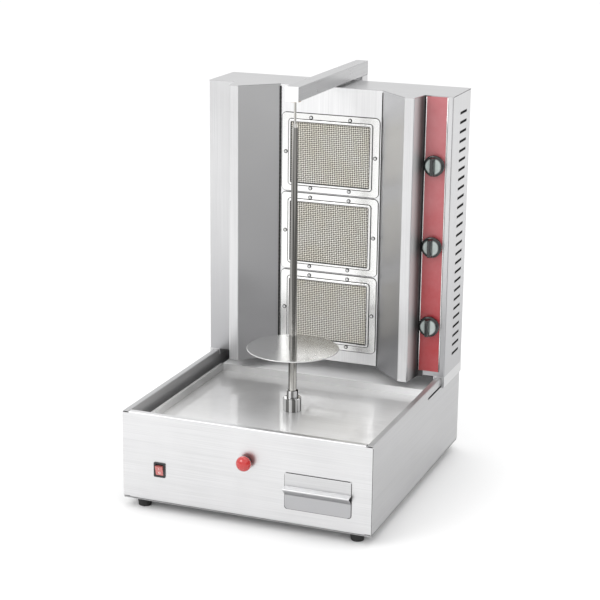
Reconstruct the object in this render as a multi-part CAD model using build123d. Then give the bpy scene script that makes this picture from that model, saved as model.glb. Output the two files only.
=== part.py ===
"""Countertop vertical broiler: a drip-tray base with a motor-driven upright spit, and behind it an
upright burner cabinet that slides forward on the base's rims.

Millimetres, +Z up, +X to the right as the cook sees it, front facing -Y. The origin is on the bench,
at the middle of the whole object's footprint, from the start button's head to the rear post.
"""
from build123d import *
from math import cos, pi, radians, sin, tan
import os

# ---- driving dimensions -------------------------------------------------------------------------
SHEET = 1.2                  # stainless sheet
FOLD = 1.6                   # inside radius of a folded edge
GAP = 0.3                    # clearance between flat faces that slide past each other
RUN = 0.05                   # radial clearance of a running fit

BASE_W, BASE_D, BASE_H = 530.0, 586.0, 185.0
FOOT_H, FOOT_R, FOOT_INSET = 20.0, 15.0, 36.0
RIM_W = 14.0                 # width of the rolled rim round the base
LEDGE_DROP = 39.0            # rim top down to the gutter
GUTTER_W = 18.0

TRAY_FLOOR_DROP = 42.0       # rim top down to the underside of the tray floor
TRAY_H = 17.0
TRAY_LIP = 5.0
TRAY_GAP_FRONT = 7.0         # front rim to the tray wall

CABINET_D = 128.5
CABINET_OVERHANG = 6.5       # cabinet side outside the base's side
CABINET_LIFT = 3.0           # rim top to the cabinet floor
TRAVEL = 95.0                # how far the cabinet slides towards the spit
BAY_RECESS = 17.5            # cabinet front back to the burner panel

BURNER_N, BURNER_GAP = 3, 4.0
BURNER_W, BURNER_H = 218.0, 168.0
BORDER_X, BORDER_Z = 20.0, 18.0        # width of a burner's frame round its window
BURNER_FOOT, BURNER_HEAD = 27.0, 60.0  # panel below the lowest burner and above the highest
BURNER_DEPTH = 32.0
TILE_T, TILE_LAP = 12.0, 2.0

WING_PROUD = 50.0            # how far the wings stand out in front of the cabinet
WING_FLANGE = 20.5
WING_FLARE = 7.5
WING_FOOT = 4.5              # burner frame to the start of the wing's slanted face
WING_TAB, WING_DROP = 12.0, 4.0        # tab behind the front strip; how far the wings pass the floor

SIDE_FRONT_FLANGE = 10.0     # right side panel, turned in beside the red plate
PLATE_END, PLATE_SEAT = 10.0, 1.5      # bare metal below the red plate; its thickness
KNOB_R, KNOB_H, KNOB_TRAVEL = 22.0, 26.0, 3.0
KNOB_ROOM = 16.0             # width of the control strip beyond the knob
SPINDLE_R = 3.0
VALVE_W, VALVE_D, PLUG_R = 30.0, 50.0, 8.0
RAIL_R, JET_R, VENTURI_R = 8.0, 3.0, 8.0
INLET_R, INLET_L = 10.45, 20.0

LOUVRE_PITCH, LOUVRE_L, LOUVRE_H = 20.0, 46.0, 4.5
LOUVRE_HEAD, LOUVRE_FOOT, LOUVRE_BACKSET = 42.0, 30.0, 12.0

SPIT_X, SPIT_ROOM = 5.0, 29.0          # off the middle; burner panel to the plate when slid forward
SHAFT_R, BUSH_WALL, CROSS_R = 8.0, 3.0, 2.0
HUB_R, HUB_H, COLLAR_R, COLLAR_H = 19.0, 28.5, 12.0, 15.0
SHANK_R, SOCKET_DEPTH = 7.0, 18.0
TUBE_R, PLATE_R, PLATE_T = 8.5, 95.0, 2.5
PLATE_UP = 89.0              # coupling top up to the meat plate
BAR_LOW, BAR_TOP = 12.3, 9.0 # square bar, across the flats at each end
TIP_R = 2.5
TIP_GAP = 43.0               # bar shoulder up to the arm
MOTOR_W, MOTOR_DROP = 70.0, 30.0       # gearbox, and the gap above it to the tray
BRACKET_HALF, BRACKET_T = 45.0, 3.0

ARM_W, ARM_H, ARM_CLEAR = 28.0, 30.0, 4.0
ARM_NOSE = 20.0              # arm in front of the spit
POST_D, POST_BEHIND = 35.0, 18.0
ARM_WALL = 1.5

ROCKER_FROM_SIDE, ROCKER_Z, ROCKER_W, ROCKER_H = 81.5, 90.0, 25.0, 31.0
ROCKER_SWING = 18.0
BUTTON_X, BUTTON_DROP, BUTTON_R, BUTTON_TRAVEL = 4.0, 69.0, 15.5, 4.0
BUTTON_STEM_R, BUTTON_BEZEL, BUTTON_BARREL = 5.0, 5.0, 18.0

DRAWER_FROM_SIDE, DRAWER_Z, DRAWER_W, DRAWER_H = 42.0, 89.0, 137.0, 74.0
DRAWER_LAP, DRAWER_CLEAR = 6.0, 8.0    # face past the pan; pan to the motor's bracket
PULL_PROUD, PULL_DROP, PULL_H = 16.0, 27.5, 17.5
DRAIN_R, DRAIN_FROM_FRONT, DRAIN_CLEAR = 11.0, 60.0, 15.0
GLAND_R, GLAND_FROM_SIDE, GLAND_UP = 8.0, 75.0, 40.0
PIN_R = 2.0                  # slide pins of the cabinet's shoes

# ---- places that follow from them ---------------------------------------------------------------
BUTTON_PROUD = BUTTON_BEZEL + BUTTON_TRAVEL + 1.0 + BUTTON_R
OVERALL_D = BUTTON_PROUD + BASE_D + POST_BEHIND + POST_D
FRONT = BUTTON_PROUD - OVERALL_D / 2
BACK = FRONT + BASE_D
RIM_Z = FOOT_H + BASE_H
SIDE_X = BASE_W / 2
WELL_X = SIDE_X - RIM_W
LEDGE_Z = RIM_Z - LEDGE_DROP
TRAY_X = WELL_X - GUTTER_W
TRAY_Z = RIM_Z - TRAY_FLOOR_DROP
TRAY_TOP = TRAY_Z + TRAY_H
CAB_BACK = BACK - RIM_W
CAB_FRONT = CAB_BACK - CABINET_D
CAB_X = SIDE_X + CABINET_OVERHANG
CAB_Z = RIM_Z + CABINET_LIFT
BURNER_PITCH = BURNER_H + BURNER_GAP
BURNER_Z = [CAB_Z + BURNER_FOOT + BURNER_H / 2 + BURNER_PITCH * n for n in range(BURNER_N)]
MESH_W, MESH_H = BURNER_W - 2 * BORDER_X, BURNER_H - 2 * BORDER_Z
CABINET_TOP = BURNER_Z[-1] + BURNER_H / 2 + BURNER_HEAD
LOUVRE_N = int((CABINET_TOP - CAB_Z - LOUVRE_HEAD - LOUVRE_FOOT) / LOUVRE_PITCH) + 1
BAY_Y = CAB_FRONT + BAY_RECESS
BAY_X = BURNER_W / 2 + WING_FOOT
WING_X = CAB_X - 2 * KNOB_R - KNOB_ROOM
RETURN_X = WING_X - WING_FLARE
FLANGE_X = RETURN_X - WING_FLANGE
FLANGE_Y = CAB_FRONT - WING_PROUD
TRAY_BACK = CAB_FRONT - 15.0
SPIT_Y = BAY_Y - TRAVEL - SPIT_ROOM - PLATE_R
HUB_Z = TRAY_Z + SHEET + GAP
COLLAR_Z = HUB_Z + HUB_H
COLLAR_TOP = COLLAR_Z + COLLAR_H
PLATE_Z = COLLAR_TOP + PLATE_UP
ARM_X0, ARM_X1 = SPIT_X - ARM_W / 2, SPIT_X + ARM_W / 2
ARM_Z = CABINET_TOP + ARM_CLEAR
POST_Y = BACK + POST_BEHIND
SEAM_X = WING_X + FOLD + GAP
PANEL_X1 = CAB_X - SIDE_FRONT_FLANGE
KNOB_X = (WING_X + PANEL_X1) / 2
KNOB_Y = CAB_FRONT - KNOB_TRAVEL - 1.0
PLATE_W = 2 * KNOB_R + 2.0
VALVE_Y = CAB_FRONT + 2 * SHEET + 4.0
RAIL_Y = VALVE_Y + VALVE_D + 10.0
VENTURI_Y = BAY_Y + 22.0
INLET_Z = BURNER_Z[0] - 70.0
BOTTOM_Z = FOOT_H + SHEET
ROCKER_X = ROCKER_FROM_SIDE - SIDE_X
BUTTON_Z = RIM_Z - BUTTON_DROP
DRAWER_X = SIDE_X - DRAWER_FROM_SIDE - DRAWER_W / 2
DRAWER_DEPTH = SPIT_Y - FRONT - BRACKET_HALF - DRAWER_CLEAR
PAN_X0, PAN_X1 = DRAWER_X - DRAWER_W / 2 + DRAWER_LAP, DRAWER_X + DRAWER_W / 2 - DRAWER_LAP
PAN_Z0, PAN_Z1 = DRAWER_Z - DRAWER_H / 2 + DRAWER_LAP - 2, DRAWER_Z + DRAWER_H / 2 - DRAWER_LAP - 2
PLUG_Y0, PLUG_Y1 = VALVE_Y + 2.0, VALVE_Y + 30.0
PIN_Z = RIM_Z - 17.5
PIN_YS = (CAB_FRONT + 8.0, CAB_BACK - 20.0)
BUSH_R = SHAFT_R + BUSH_WALL
MOTOR_TOP = TRAY_Z - MOTOR_DROP
DRAIN_Y = FRONT + DRAIN_FROM_FRONT
GLAND_X, GLAND_Z = GLAND_FROM_SIDE - SIDE_X, FOOT_H + GLAND_UP
POST_BRACKET_Z = (FOOT_H + 40.0, RIM_Z - 35.0)
VENTURI_X = KNOB_X - VALVE_W / 2 - 26.0


# ---- small helpers ------------------------------------------------------------------------------
def block(x0, x1, y0, y1, z0, z1):
    """Box between two limits on each axis."""
    return Pos((x0 + x1) / 2, (y0 + y1) / 2, (z0 + z1) / 2) * Box(x1 - x0, y1 - y0, z1 - z0)


def rod(radius, start, end, end_radius=None):
    """Round bar, or a cone when end_radius is given, between two points."""
    axis = Vector(*end) - Vector(*start)
    along = Plane(origin=Vector(*start), z_dir=axis)
    seat = (Align.CENTER, Align.CENTER, Align.MIN)
    if end_radius is None:
        return along * Cylinder(radius, axis.length, align=seat)
    return along * Cone(radius, end_radius, axis.length, align=seat)


def upright(radius, z0, z1):
    """Round bar on the spit's axis."""
    return rod(radius, (SPIT_X, SPIT_Y, z0), (SPIT_X, SPIT_Y, z1))


def facing(sketch, y, depth):
    """A sketch drawn in X and Z, extruded from y towards the back."""
    return extrude(Plane(origin=(0, y, 0), x_dir=(1, 0, 0), z_dir=(0, -1, 0)) * sketch, amount=-depth)


def parallel(points, distance):
    """The outline's points moved sideways, to the left of its direction when distance is positive."""
    moved = []
    for index, point in enumerate(points):
        here = Vector(*point)
        runs = []
        if index > 0:
            runs.append((here - Vector(*points[index - 1])).normalized())
        if index < len(points) - 1:
            runs.append((Vector(*points[index + 1]) - here).normalized())
        lefts = [Vector(-run.Y, run.X) for run in runs]
        mitre = (lefts[0] + lefts[-1]).normalized()
        moved.append(here + mitre * (distance / mitre.dot(lefts[0])))
    return moved


def rounded_run(points, radii):
    """Edges of an open outline, with an arc of its own radius at each inner corner."""
    edges, start = [], points[0]
    for before, corner, after, radius in zip(points, points[1:], points[2:], radii):
        to_before, to_after = (before - corner).normalized(), (after - corner).normalized()
        half = radians(to_before.get_angle(to_after) / 2)
        first = corner + to_before * (radius / tan(half))
        last = corner + to_after * (radius / tan(half))
        middle = corner + (to_before + to_after).normalized() * (radius / sin(half) - radius)
        edges += [Line(start, first), ThreePointArc(first, middle, last)]
        start = last
    return edges + [Line(start, points[-1])]


def folded(outline, thickness=SHEET, bend=FOLD):
    """Section of a folded sheet: outline is its outer face, the metal lies to its left, or to its
    right when thickness is negative. Every corner has the same inside bend."""
    outer = [Vector(*point) for point in outline]
    inner = parallel(outline, thickness)
    outer_radii, inner_radii = [], []
    for before, corner, after in zip(outer, outer[1:], outer[2:]):
        turn = (corner - before).cross(after - corner).Z * thickness
        outer_radii.append(bend + abs(thickness) if turn > 0 else bend)
        inner_radii.append(bend if turn > 0 else bend + abs(thickness))
    edges = rounded_run(outer, outer_radii) + rounded_run(inner, inner_radii)
    return make_face(edges + [Line(outer[0], inner[0]), Line(outer[-1], inner[-1])])


def along_x(section, x0, x1):
    """Extrude a section drawn in Y and Z from x0 to x1."""
    return extrude(Plane(origin=(x0, 0, 0), x_dir=(0, 1, 0), z_dir=(1, 0, 0)) * section, amount=x1 - x0)


def along_y(section, y0, y1):
    """Extrude a section drawn in X and Z from y0 to y1."""
    return facing(section, y0, y1 - y0)


def along_z(section, z0, z1):
    """Extrude a section drawn in X and Y from z0 to z1."""
    return extrude(Plane(origin=(0, 0, z0)) * section, amount=z1 - z0)


def mirrored(part):
    """The same piece on the other side of the object."""
    return mirror(part, about=Plane.YZ)


def pan_head(point, direction, radius=4.0, shank_r=2.0, shank=6.0):
    """Cross-recessed pan-head screw whose head seats at point and whose shank runs along direction."""
    seat, way = Vector(*point), Vector(*direction)
    height = radius * 0.6
    head = rod(radius, seat, seat - way * height)
    head = fillet(head.edges().filter_by(GeomType.CIRCLE).sort_by(lambda e: -(e.center() - seat).length)[0],
                  height * 0.6)
    frame = Plane(origin=seat - way * height, z_dir=way)
    cross = frame * (Box(radius, radius * 0.24, height) + Box(radius * 0.24, radius, height))
    return head + rod(shank_r, seat, seat + way * shank) - cross


# ---- base ---------------------------------------------------------------------------------------
def base_sides():
    section = folded([(WELL_X, BOTTOM_Z), (SIDE_X, BOTTOM_Z), (SIDE_X, RIM_Z), (WELL_X, RIM_Z),
                      (WELL_X, LEDGE_Z), (TRAY_X + SHEET, LEDGE_Z)])
    side = along_y(section, FRONT + SHEET, BACK - SHEET)
    y0, y1 = PIN_YS[0] - TRAVEL - PIN_R - 1, PIN_YS[1] + PIN_R + 1
    slot = block(SIDE_X - 2 * SHEET, SIDE_X + 1, y0, y1, PIN_Z - PIN_R - 0.5, PIN_Z + PIN_R + 0.5)
    slot = fillet(slot.edges().filter_by(Axis.X), PIN_R)
    side -= slot
    return {"base_side_right": side, "base_side_left": mirrored(side)}


def end_panel(rim_inner):
    """End panel of the base, as its front: a full face, with a rim rolled back between the side rims."""
    rolled = along_x(folded([(FRONT + 20, BOTTOM_Z), (FRONT, BOTTOM_Z), (FRONT, RIM_Z),
                             (FRONT + RIM_W, RIM_Z), (FRONT + RIM_W, rim_inner)], -SHEET),
                     -WELL_X + GAP, WELL_X - GAP)
    face = block(-SIDE_X, SIDE_X, FRONT, FRONT + SHEET, BOTTOM_Z + 3, RIM_Z - 3)
    return rolled + face


def base_front():
    panel = end_panel(TRAY_TOP + 2)
    rocker_hole = block(ROCKER_X - ROCKER_W / 2 + 2, ROCKER_X + ROCKER_W / 2 - 2, FRONT - 1, FRONT + 3,
                        ROCKER_Z - ROCKER_H / 2 + 2, ROCKER_Z + ROCKER_H / 2 - 2)
    button_hole = rod(BUTTON_STEM_R + 3, (BUTTON_X, FRONT - 1, BUTTON_Z), (BUTTON_X, FRONT + 3, BUTTON_Z))
    drawer_hole = block(PAN_X0 - 2, PAN_X1 + 2, FRONT - 1, FRONT + 3, PAN_Z0 - 2, PAN_Z1 + 2)
    return panel - rocker_hole - button_hole - drawer_hole


def base_back():
    panel = end_panel(TRAY_TOP + 2).rotate(Axis((0, (FRONT + BACK) / 2, 0), (0, 0, 1)), 180)
    gland = rod(GLAND_R, (GLAND_X, BACK - 3, GLAND_Z), (GLAND_X, BACK + 1, GLAND_Z))
    vents = [along_y(Pos(x, BOTTOM_Z + 40) * SlotOverall(40, 4, rotation=90), BACK - 3, BACK + 1)
             for x in range(60, 181, 12)]
    screws = [rod(2, (x, BACK - 3, z), (x, BACK + 1, z)) for x, z in panel_screw_places()]
    screws += [rod(2.5, (x, BACK - 3, z), (x, BACK + 1, z)) for x, z in bracket_screw_places()]
    return panel - gland - vents - screws


def base_bottom():
    plate = block(-SIDE_X, SIDE_X, FRONT, BACK, FOOT_H, BOTTOM_Z)
    plate = fillet(plate.edges().filter_by(Axis.Z), 3)
    for x, y in foot_places():
        plate -= rod(3, (x, y, FOOT_H - 1), (x, y, BOTTOM_Z + 1))
    return plate


def foot_places():
    return [(side * (SIDE_X - FOOT_INSET), y) for side in (-1, 1) for y in (FRONT + 24, BACK - 24)]


def feet():
    """Four rubber feet, each with the steel stud that screws up through the bottom plate."""
    made = []
    for x, y in foot_places():
        foot = rod(FOOT_R - 2, (x, y, 0), (x, y, FOOT_H), FOOT_R)
        foot = fillet(foot.edges().sort_by(Axis.Z)[0], 2)
        made.append(foot + rod(3, (x, y, FOOT_H), (x, y, BOTTOM_Z + 6)))
    return made


def drip_tray():
    """Shallow pan with turned-out lips, a hole for the spit's bush and a drain spout over the drawer."""
    x1, y0, y1 = TRAY_X + SHEET, FRONT + RIM_W + TRAY_GAP_FRONT, TRAY_BACK
    pan = block(-x1, x1, y0, y1, TRAY_Z, TRAY_TOP)
    pan = fillet(pan.edges().filter_by(Axis.Z), 6)
    hollow = block(-TRAY_X, TRAY_X, y0 + SHEET, y1 - SHEET, TRAY_Z + SHEET, TRAY_TOP + 1)
    hollow = fillet(hollow.edges().filter_by(Axis.Z), 5)
    lip = block(-x1 - TRAY_LIP, x1 + TRAY_LIP, y0 - TRAY_LIP, y1, TRAY_TOP - SHEET, TRAY_TOP)
    lip = fillet(lip.edges().filter_by(Axis.Z).group_by(Axis.Y)[0], 8)
    tray = pan + lip - hollow
    spout = PAN_Z1 + DRAIN_CLEAR
    tray += rod(DRAIN_R + SHEET, (DRAWER_X, DRAIN_Y, spout), (DRAWER_X, DRAIN_Y, TRAY_Z))
    tray -= rod(DRAIN_R, (DRAWER_X, DRAIN_Y, spout - 1), (DRAWER_X, DRAIN_Y, TRAY_Z + 2 * SHEET))
    return tray - upright(BUSH_R, TRAY_Z - 1, TRAY_Z + 3)


def rear_deck():
    """Inverted shallow pan that closes the base behind the drip tray."""
    x1, y0, y1 = TRAY_X + SHEET, TRAY_BACK, BACK - RIM_W - GAP
    deck = block(-x1, x1, y0, y1, LEDGE_Z - SHEET, TRAY_TOP)
    deck = fillet(deck.edges().group_by(Axis.Z)[-1].filter_by(Axis.X).sort_by(Axis.Y)[0], FOLD + SHEET)
    return deck - block(-TRAY_X, TRAY_X, y0 + SHEET, y1 - SHEET, LEDGE_Z - 2 * SHEET, TRAY_TOP - SHEET)


def drawer_guides():
    """Two welded angles that carry the grease drawer."""
    made = []
    for side, x in ((-1, PAN_X0), (1, PAN_X1)):
        near, wall, foot = x + side * 2 * GAP, x + side * (2 * GAP + SHEET), x + side * 20
        pieces = [(near, wall, BOTTOM_Z, PAN_Z0 + 18), (wall, foot, BOTTOM_Z, BOTTOM_Z + SHEET),
                  (near, x - side * 9, PAN_Z0 - GAP - SHEET, PAN_Z0 - GAP)]
        rail = [block(min(a, b), max(a, b), FRONT + 30, FRONT + DRAWER_DEPTH, low, high)
                for a, b, low, high in pieces]
        made.append(rail[0] + rail[1] + rail[2])
    return made


def motor_bracket():
    """Folded bridge over the gear motor, on two feet."""
    left, right = SPIT_X - MOTOR_W / 2 - 8, SPIT_X + MOTOR_W / 2 + 8
    foot, top = BOTTOM_Z + BRACKET_T, MOTOR_TOP + BRACKET_T
    section = folded([(left - 18, foot), (left, foot), (left, top), (right, top), (right, foot),
                      (right + 18, foot)], -BRACKET_T, BRACKET_T)
    bridge = along_y(section, SPIT_Y - BRACKET_HALF, SPIT_Y + BRACKET_HALF)
    return bridge - upright(SHAFT_R + 6, MOTOR_TOP - 1, top + 1)


def gear_motor():
    """Gearbox with its can motor beneath, bored for the drive shaft."""
    half = MOTOR_W / 2
    gearbox = block(SPIT_X - half, SPIT_X + half, SPIT_Y - half, SPIT_Y + half, MOTOR_TOP - 38, MOTOR_TOP)
    gearbox = fillet(gearbox.edges().filter_by(Axis.Z), 8)
    can = upright(half - 4, BOTTOM_Z + 12, MOTOR_TOP - 38)
    return gearbox + can - upright(SHAFT_R + RUN, MOTOR_TOP - 31, MOTOR_TOP + 1)


def shaft_bush():
    """Flanged bronze bush in the tray floor, which keeps the drive shaft upright."""
    bush = upright(BUSH_R, TRAY_Z - 12, TRAY_Z + SHEET)
    bush += upright(BUSH_R + 5, TRAY_Z - 3, TRAY_Z)
    return bush - upright(SHAFT_R + RUN, TRAY_Z - 13, TRAY_Z + 3)


def spit_coupling():
    """Drive hub and its shaft in one turning, with a socket for the spit and a slot for its cross pin."""
    hub = upright(HUB_R, HUB_Z, COLLAR_Z)
    hub = chamfer(hub.edges().sort_by(Axis.Z)[-1], 1.5)
    hub += upright(COLLAR_R, COLLAR_Z, COLLAR_TOP)
    hub += upright(SHAFT_R, MOTOR_TOP - 30, HUB_Z)
    hub -= upright(SHANK_R + RUN, COLLAR_TOP - SOCKET_DEPTH, COLLAR_TOP + 1)
    slot = CROSS_R + GAP
    return hub - block(SPIT_X - COLLAR_R - 1, SPIT_X + COLLAR_R + 1, SPIT_Y - slot, SPIT_Y + slot,
                       COLLAR_TOP - 8, COLLAR_TOP + 1)


def spit_bar():
    """Spit: round shank with a cross pin, round tube below the plate, tapered square bar above it."""
    seat = COLLAR_TOP + GAP
    bar = upright(SHANK_R, COLLAR_TOP - SOCKET_DEPTH + GAP, seat)
    reach = COLLAR_R - 1
    bar += rod(CROSS_R, (SPIT_X - reach, SPIT_Y, seat - 5), (SPIT_X + reach, SPIT_Y, seat - 5))
    bar += upright(TUBE_R, seat, PLATE_Z)
    shoulder = ARM_Z - TIP_GAP
    foot, neck, point = [Plane(origin=(SPIT_X, SPIT_Y, z)) * Rectangle(width, width, rotation=45)
                         for z, width in ((PLATE_Z, BAR_LOW), (shoulder - 11, BAR_TOP),
                                          (shoulder, 1.2 * TIP_R))]
    bar += loft([foot, neck])
    bar += loft([neck, point])
    bar += upright(TIP_R, shoulder - 4, ARM_Z + 5)
    return fillet(bar.edges().sort_by(Axis.Z)[-1], 1)


def meat_plate():
    """Round plate with a rolled edge and the hub that seats on the spit."""
    plate = upright(PLATE_R, PLATE_Z, PLATE_Z + PLATE_T)
    plate = fillet(plate.edges().filter_by(GeomType.CIRCLE), 1.1)
    hub = upright(BAR_LOW, PLATE_Z - 14, PLATE_Z)
    hub = chamfer(hub.edges().sort_by(Axis.Z)[0], 1.5)
    bore = upright(TUBE_R + 0.1, PLATE_Z - 15, PLATE_Z)
    square = Pos(SPIT_X, SPIT_Y, PLATE_Z) * Rot(0, 0, 45) * Box(BAR_LOW + 0.1, BAR_LOW + 0.1, 3 * PLATE_T)
    return plate + hub - bore - square


def arm():
    """Square-ended box arm over the cabinet, open underneath at the spit for its bush."""
    y0, y1 = SPIT_Y - ARM_NOSE, POST_Y + POST_D
    tube = block(ARM_X0, ARM_X1, y0, y1, ARM_Z, ARM_Z + ARM_H)
    tube = fillet(tube.edges().filter_by(Axis.Y), FOLD)
    inside = block(ARM_X0 + ARM_WALL, ARM_X1 - ARM_WALL, y0 + ARM_WALL, y1 - ARM_WALL,
                   ARM_Z + ARM_WALL, ARM_Z + ARM_H - ARM_WALL)
    return tube - inside - upright(BUSH_R - 3, ARM_Z - 1, ARM_Z + 3)


def arm_bush():
    """Flanged bush that guides the spit's tip, pressed up into the arm."""
    bush = upright(BUSH_R - 3, ARM_Z - 2, ARM_Z + 6)
    bush += upright(BUSH_R, ARM_Z - 2, ARM_Z)
    return bush - upright(TIP_R + RUN, ARM_Z - 3, ARM_Z + 7)


def post():
    """Upright box post behind the cabinet, which carries the arm."""
    tube = block(ARM_X0, ARM_X1, POST_Y, POST_Y + POST_D, FOOT_H + 10, ARM_Z)
    tube = fillet(tube.edges().filter_by(Axis.Z), FOLD)
    return tube - block(ARM_X0 + ARM_WALL, ARM_X1 - ARM_WALL, POST_Y + ARM_WALL,
                        POST_Y + POST_D - ARM_WALL, FOOT_H + 9, ARM_Z - ARM_WALL)


def post_brackets():
    """Two spacer blocks with wide flanges that bolt the post to the back of the base."""
    made = []
    for z in POST_BRACKET_Z:
        flange = block(ARM_X0 - 24, ARM_X1 + 24, BACK, BACK + 3, z - 18, z + 18)
        flange = fillet(flange.edges().filter_by(Axis.Y), 5)
        flange += block(ARM_X0, ARM_X1, BACK + 3, POST_Y, z - 18, z + 18)
        holes = [rod(2.5, (x, BACK - 1, z), (x, BACK + 4, z)) for x, z in bracket_screw_places()]
        made.append(flange - holes)
    return made


def bracket_screw_places():
    return [(x, z) for x in (ARM_X0 - 14, ARM_X1 + 14) for z in POST_BRACKET_Z]


def panel_screw_places():
    return [(side * (SIDE_X - 12), z) for side in (-1, 1) for z in (BOTTOM_Z + 25, RIM_Z - 35)]


def base_screws():
    """Pan-head screws of the post brackets and of the base's back panel."""
    made = [pan_head((x, BACK + 3, z), (0, -1, 0), 5, 2.5, 3 + SHEET) for x, z in bracket_screw_places()]
    return made + [pan_head((x, BACK, z), (0, -1, 0), 4, 2, SHEET) for x, z in panel_screw_places()]


def rocker_housing():
    """Black snap-in body of the mains switch, open in front for its key."""
    x, z, wide, high = ROCKER_X, ROCKER_Z, ROCKER_W / 2, ROCKER_H / 2
    bezel = block(x - wide, x + wide, FRONT - 2, FRONT, z - high, z + high)
    bezel = fillet(bezel.edges().filter_by(Axis.Y), 2)
    body = block(x - wide + 2, x + wide - 2, FRONT, FRONT + 26, z - high + 2, z + high - 2)
    well = block(x - wide + 4, x + wide - 4, FRONT - 3, FRONT + 14, z - high + 3.5, z + high - 3.5)
    tabs = [block(x - 2.4, x + 2.4, FRONT + 26, FRONT + 36, z + dz, z + dz + 0.8) for dz in (-8, 0, 8)]
    return bezel + body - well + tabs


def rocker_key():
    """Translucent key: a shallow V in front, on a barrel that rocks about X. At rest its top stands out."""
    x, z, wide, high = ROCKER_X, ROCKER_Z, ROCKER_W / 2 - 4 - GAP, ROCKER_H / 2 - 5.5
    front, tilt = FRONT - 3.0, high * tan(radians(ROCKER_SWING / 2))
    face = [(front, z), (front - tilt, z + high), (FRONT + 3, z + high - 0.6), (FRONT + 8, z + 4),
            (FRONT + 8, z - 4), (FRONT + 3, z - high + 0.6), (front + tilt / 6, z - high)]
    key = along_x(make_face(Polyline(*face, close=True)), x - wide, x + wide)
    key = key.rotate(Axis((x, FRONT + 6, z), (1, 0, 0)), ROCKER_SWING / 2)
    return fillet(key.edges().filter_by(Axis.X).group_by(Axis.Y)[0], 0.4)


def button_collar():
    """Black bezel ring of the start button, with its threaded barrel through the panel."""
    ring = rod(BUTTON_STEM_R + 6, (BUTTON_X, FRONT, BUTTON_Z), (BUTTON_X, FRONT - BUTTON_BEZEL, BUTTON_Z),
               BUTTON_STEM_R + 4)
    end = FRONT + BUTTON_BARREL
    barrel = rod(BUTTON_STEM_R + 3, (BUTTON_X, FRONT, BUTTON_Z), (BUTTON_X, end, BUTTON_Z))
    return ring + barrel - rod(BUTTON_STEM_R + RUN, (BUTTON_X, FRONT - BUTTON_BEZEL - 1, BUTTON_Z),
                               (BUTTON_X, end + 1, BUTTON_Z))


def contact_block():
    """Switch block clipped behind the start button."""
    start, half = FRONT + BUTTON_BARREL, 14.0
    return block(BUTTON_X - half, BUTTON_X + half, start, start + 30, BUTTON_Z - half, BUTTON_Z + half)


def button_head():
    """Red mushroom head on its stem."""
    start, wide = FRONT - BUTTON_BEZEL - BUTTON_TRAVEL - 1, 4 * BUTTON_R
    profile = Pos(0, -0.2 * BUTTON_R) * Ellipse(BUTTON_R, 0.8 * BUTTON_R)
    dome = revolve(profile & Pos(wide / 2, 0) * Rectangle(wide, wide), Axis.Y)
    dome &= Pos(0, -wide / 2, 0) * Box(wide, wide, wide)
    dome = Pos(BUTTON_X, start, BUTTON_Z) * dome
    return dome + rod(BUTTON_STEM_R, (BUTTON_X, start - 1, BUTTON_Z),
                      (BUTTON_X, FRONT + BUTTON_BARREL - BUTTON_TRAVEL - GAP, BUTTON_Z))


def drawer_pan():
    """Open grease pan with folded walls."""
    y0, y1 = FRONT - GAP, FRONT + DRAWER_DEPTH
    pan = block(PAN_X0, PAN_X1, y0, y1, PAN_Z0, PAN_Z1)
    pan = fillet(pan.edges().filter_by(Axis.Z).group_by(Axis.Y)[-1], 5)
    return pan - block(PAN_X0 + SHEET, PAN_X1 - SHEET, y0 + SHEET, y1 - SHEET, PAN_Z0 + SHEET, PAN_Z1 + 1)


def drawer_front():
    """Face of the drawer with a finger pull folded out of it, and rounded lower corners."""
    y, top = FRONT - GAP, DRAWER_Z + DRAWER_H / 2
    pull = top - PULL_DROP
    section = folded([(y - SHEET, top), (y - SHEET, pull), (y - SHEET - PULL_PROUD, pull - 1.5),
                      (y - SHEET, pull - PULL_H), (y - SHEET, top - DRAWER_H)], SHEET, 0.8)
    face = along_x(section, DRAWER_X - DRAWER_W / 2, DRAWER_X + DRAWER_W / 2)
    return fillet(face.edges().filter_by(Axis.Y).group_by(Axis.Z)[0], 7)


def terminal_block():
    """Mains terminal strip on the base's bottom plate."""
    strip = block(GLAND_X - 26, GLAND_X + 26, BACK - 90, BACK - 68, BOTTOM_Z, BOTTOM_Z + 20)
    for n in range(4):
        x = GLAND_X - 19.5 + 13 * n
        strip -= rod(3, (x, BACK - 79, BOTTOM_Z + 12), (x, BACK - 79, BOTTOM_Z + 21))
    return strip


def cable_gland():
    """Nylon gland with its dome nut; its bore is left empty."""
    x, z = GLAND_X, GLAND_Z
    gland = rod(GLAND_R, (x, BACK - 12, z), (x, BACK + 4, z))
    hexagon = RegularPolygon(GLAND_R + 3, 6)
    gland += along_y(Pos(x, z) * hexagon, BACK, BACK + 5)
    gland += along_y(Pos(x, z) * hexagon, BACK - SHEET - 5, BACK - SHEET)
    gland += rod(GLAND_R + 1, (x, BACK + 5, z), (x, BACK + 18, z), GLAND_R - 2)
    return gland - rod(GLAND_R - 4, (x, BACK - 13, z), (x, BACK + 19, z))


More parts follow.
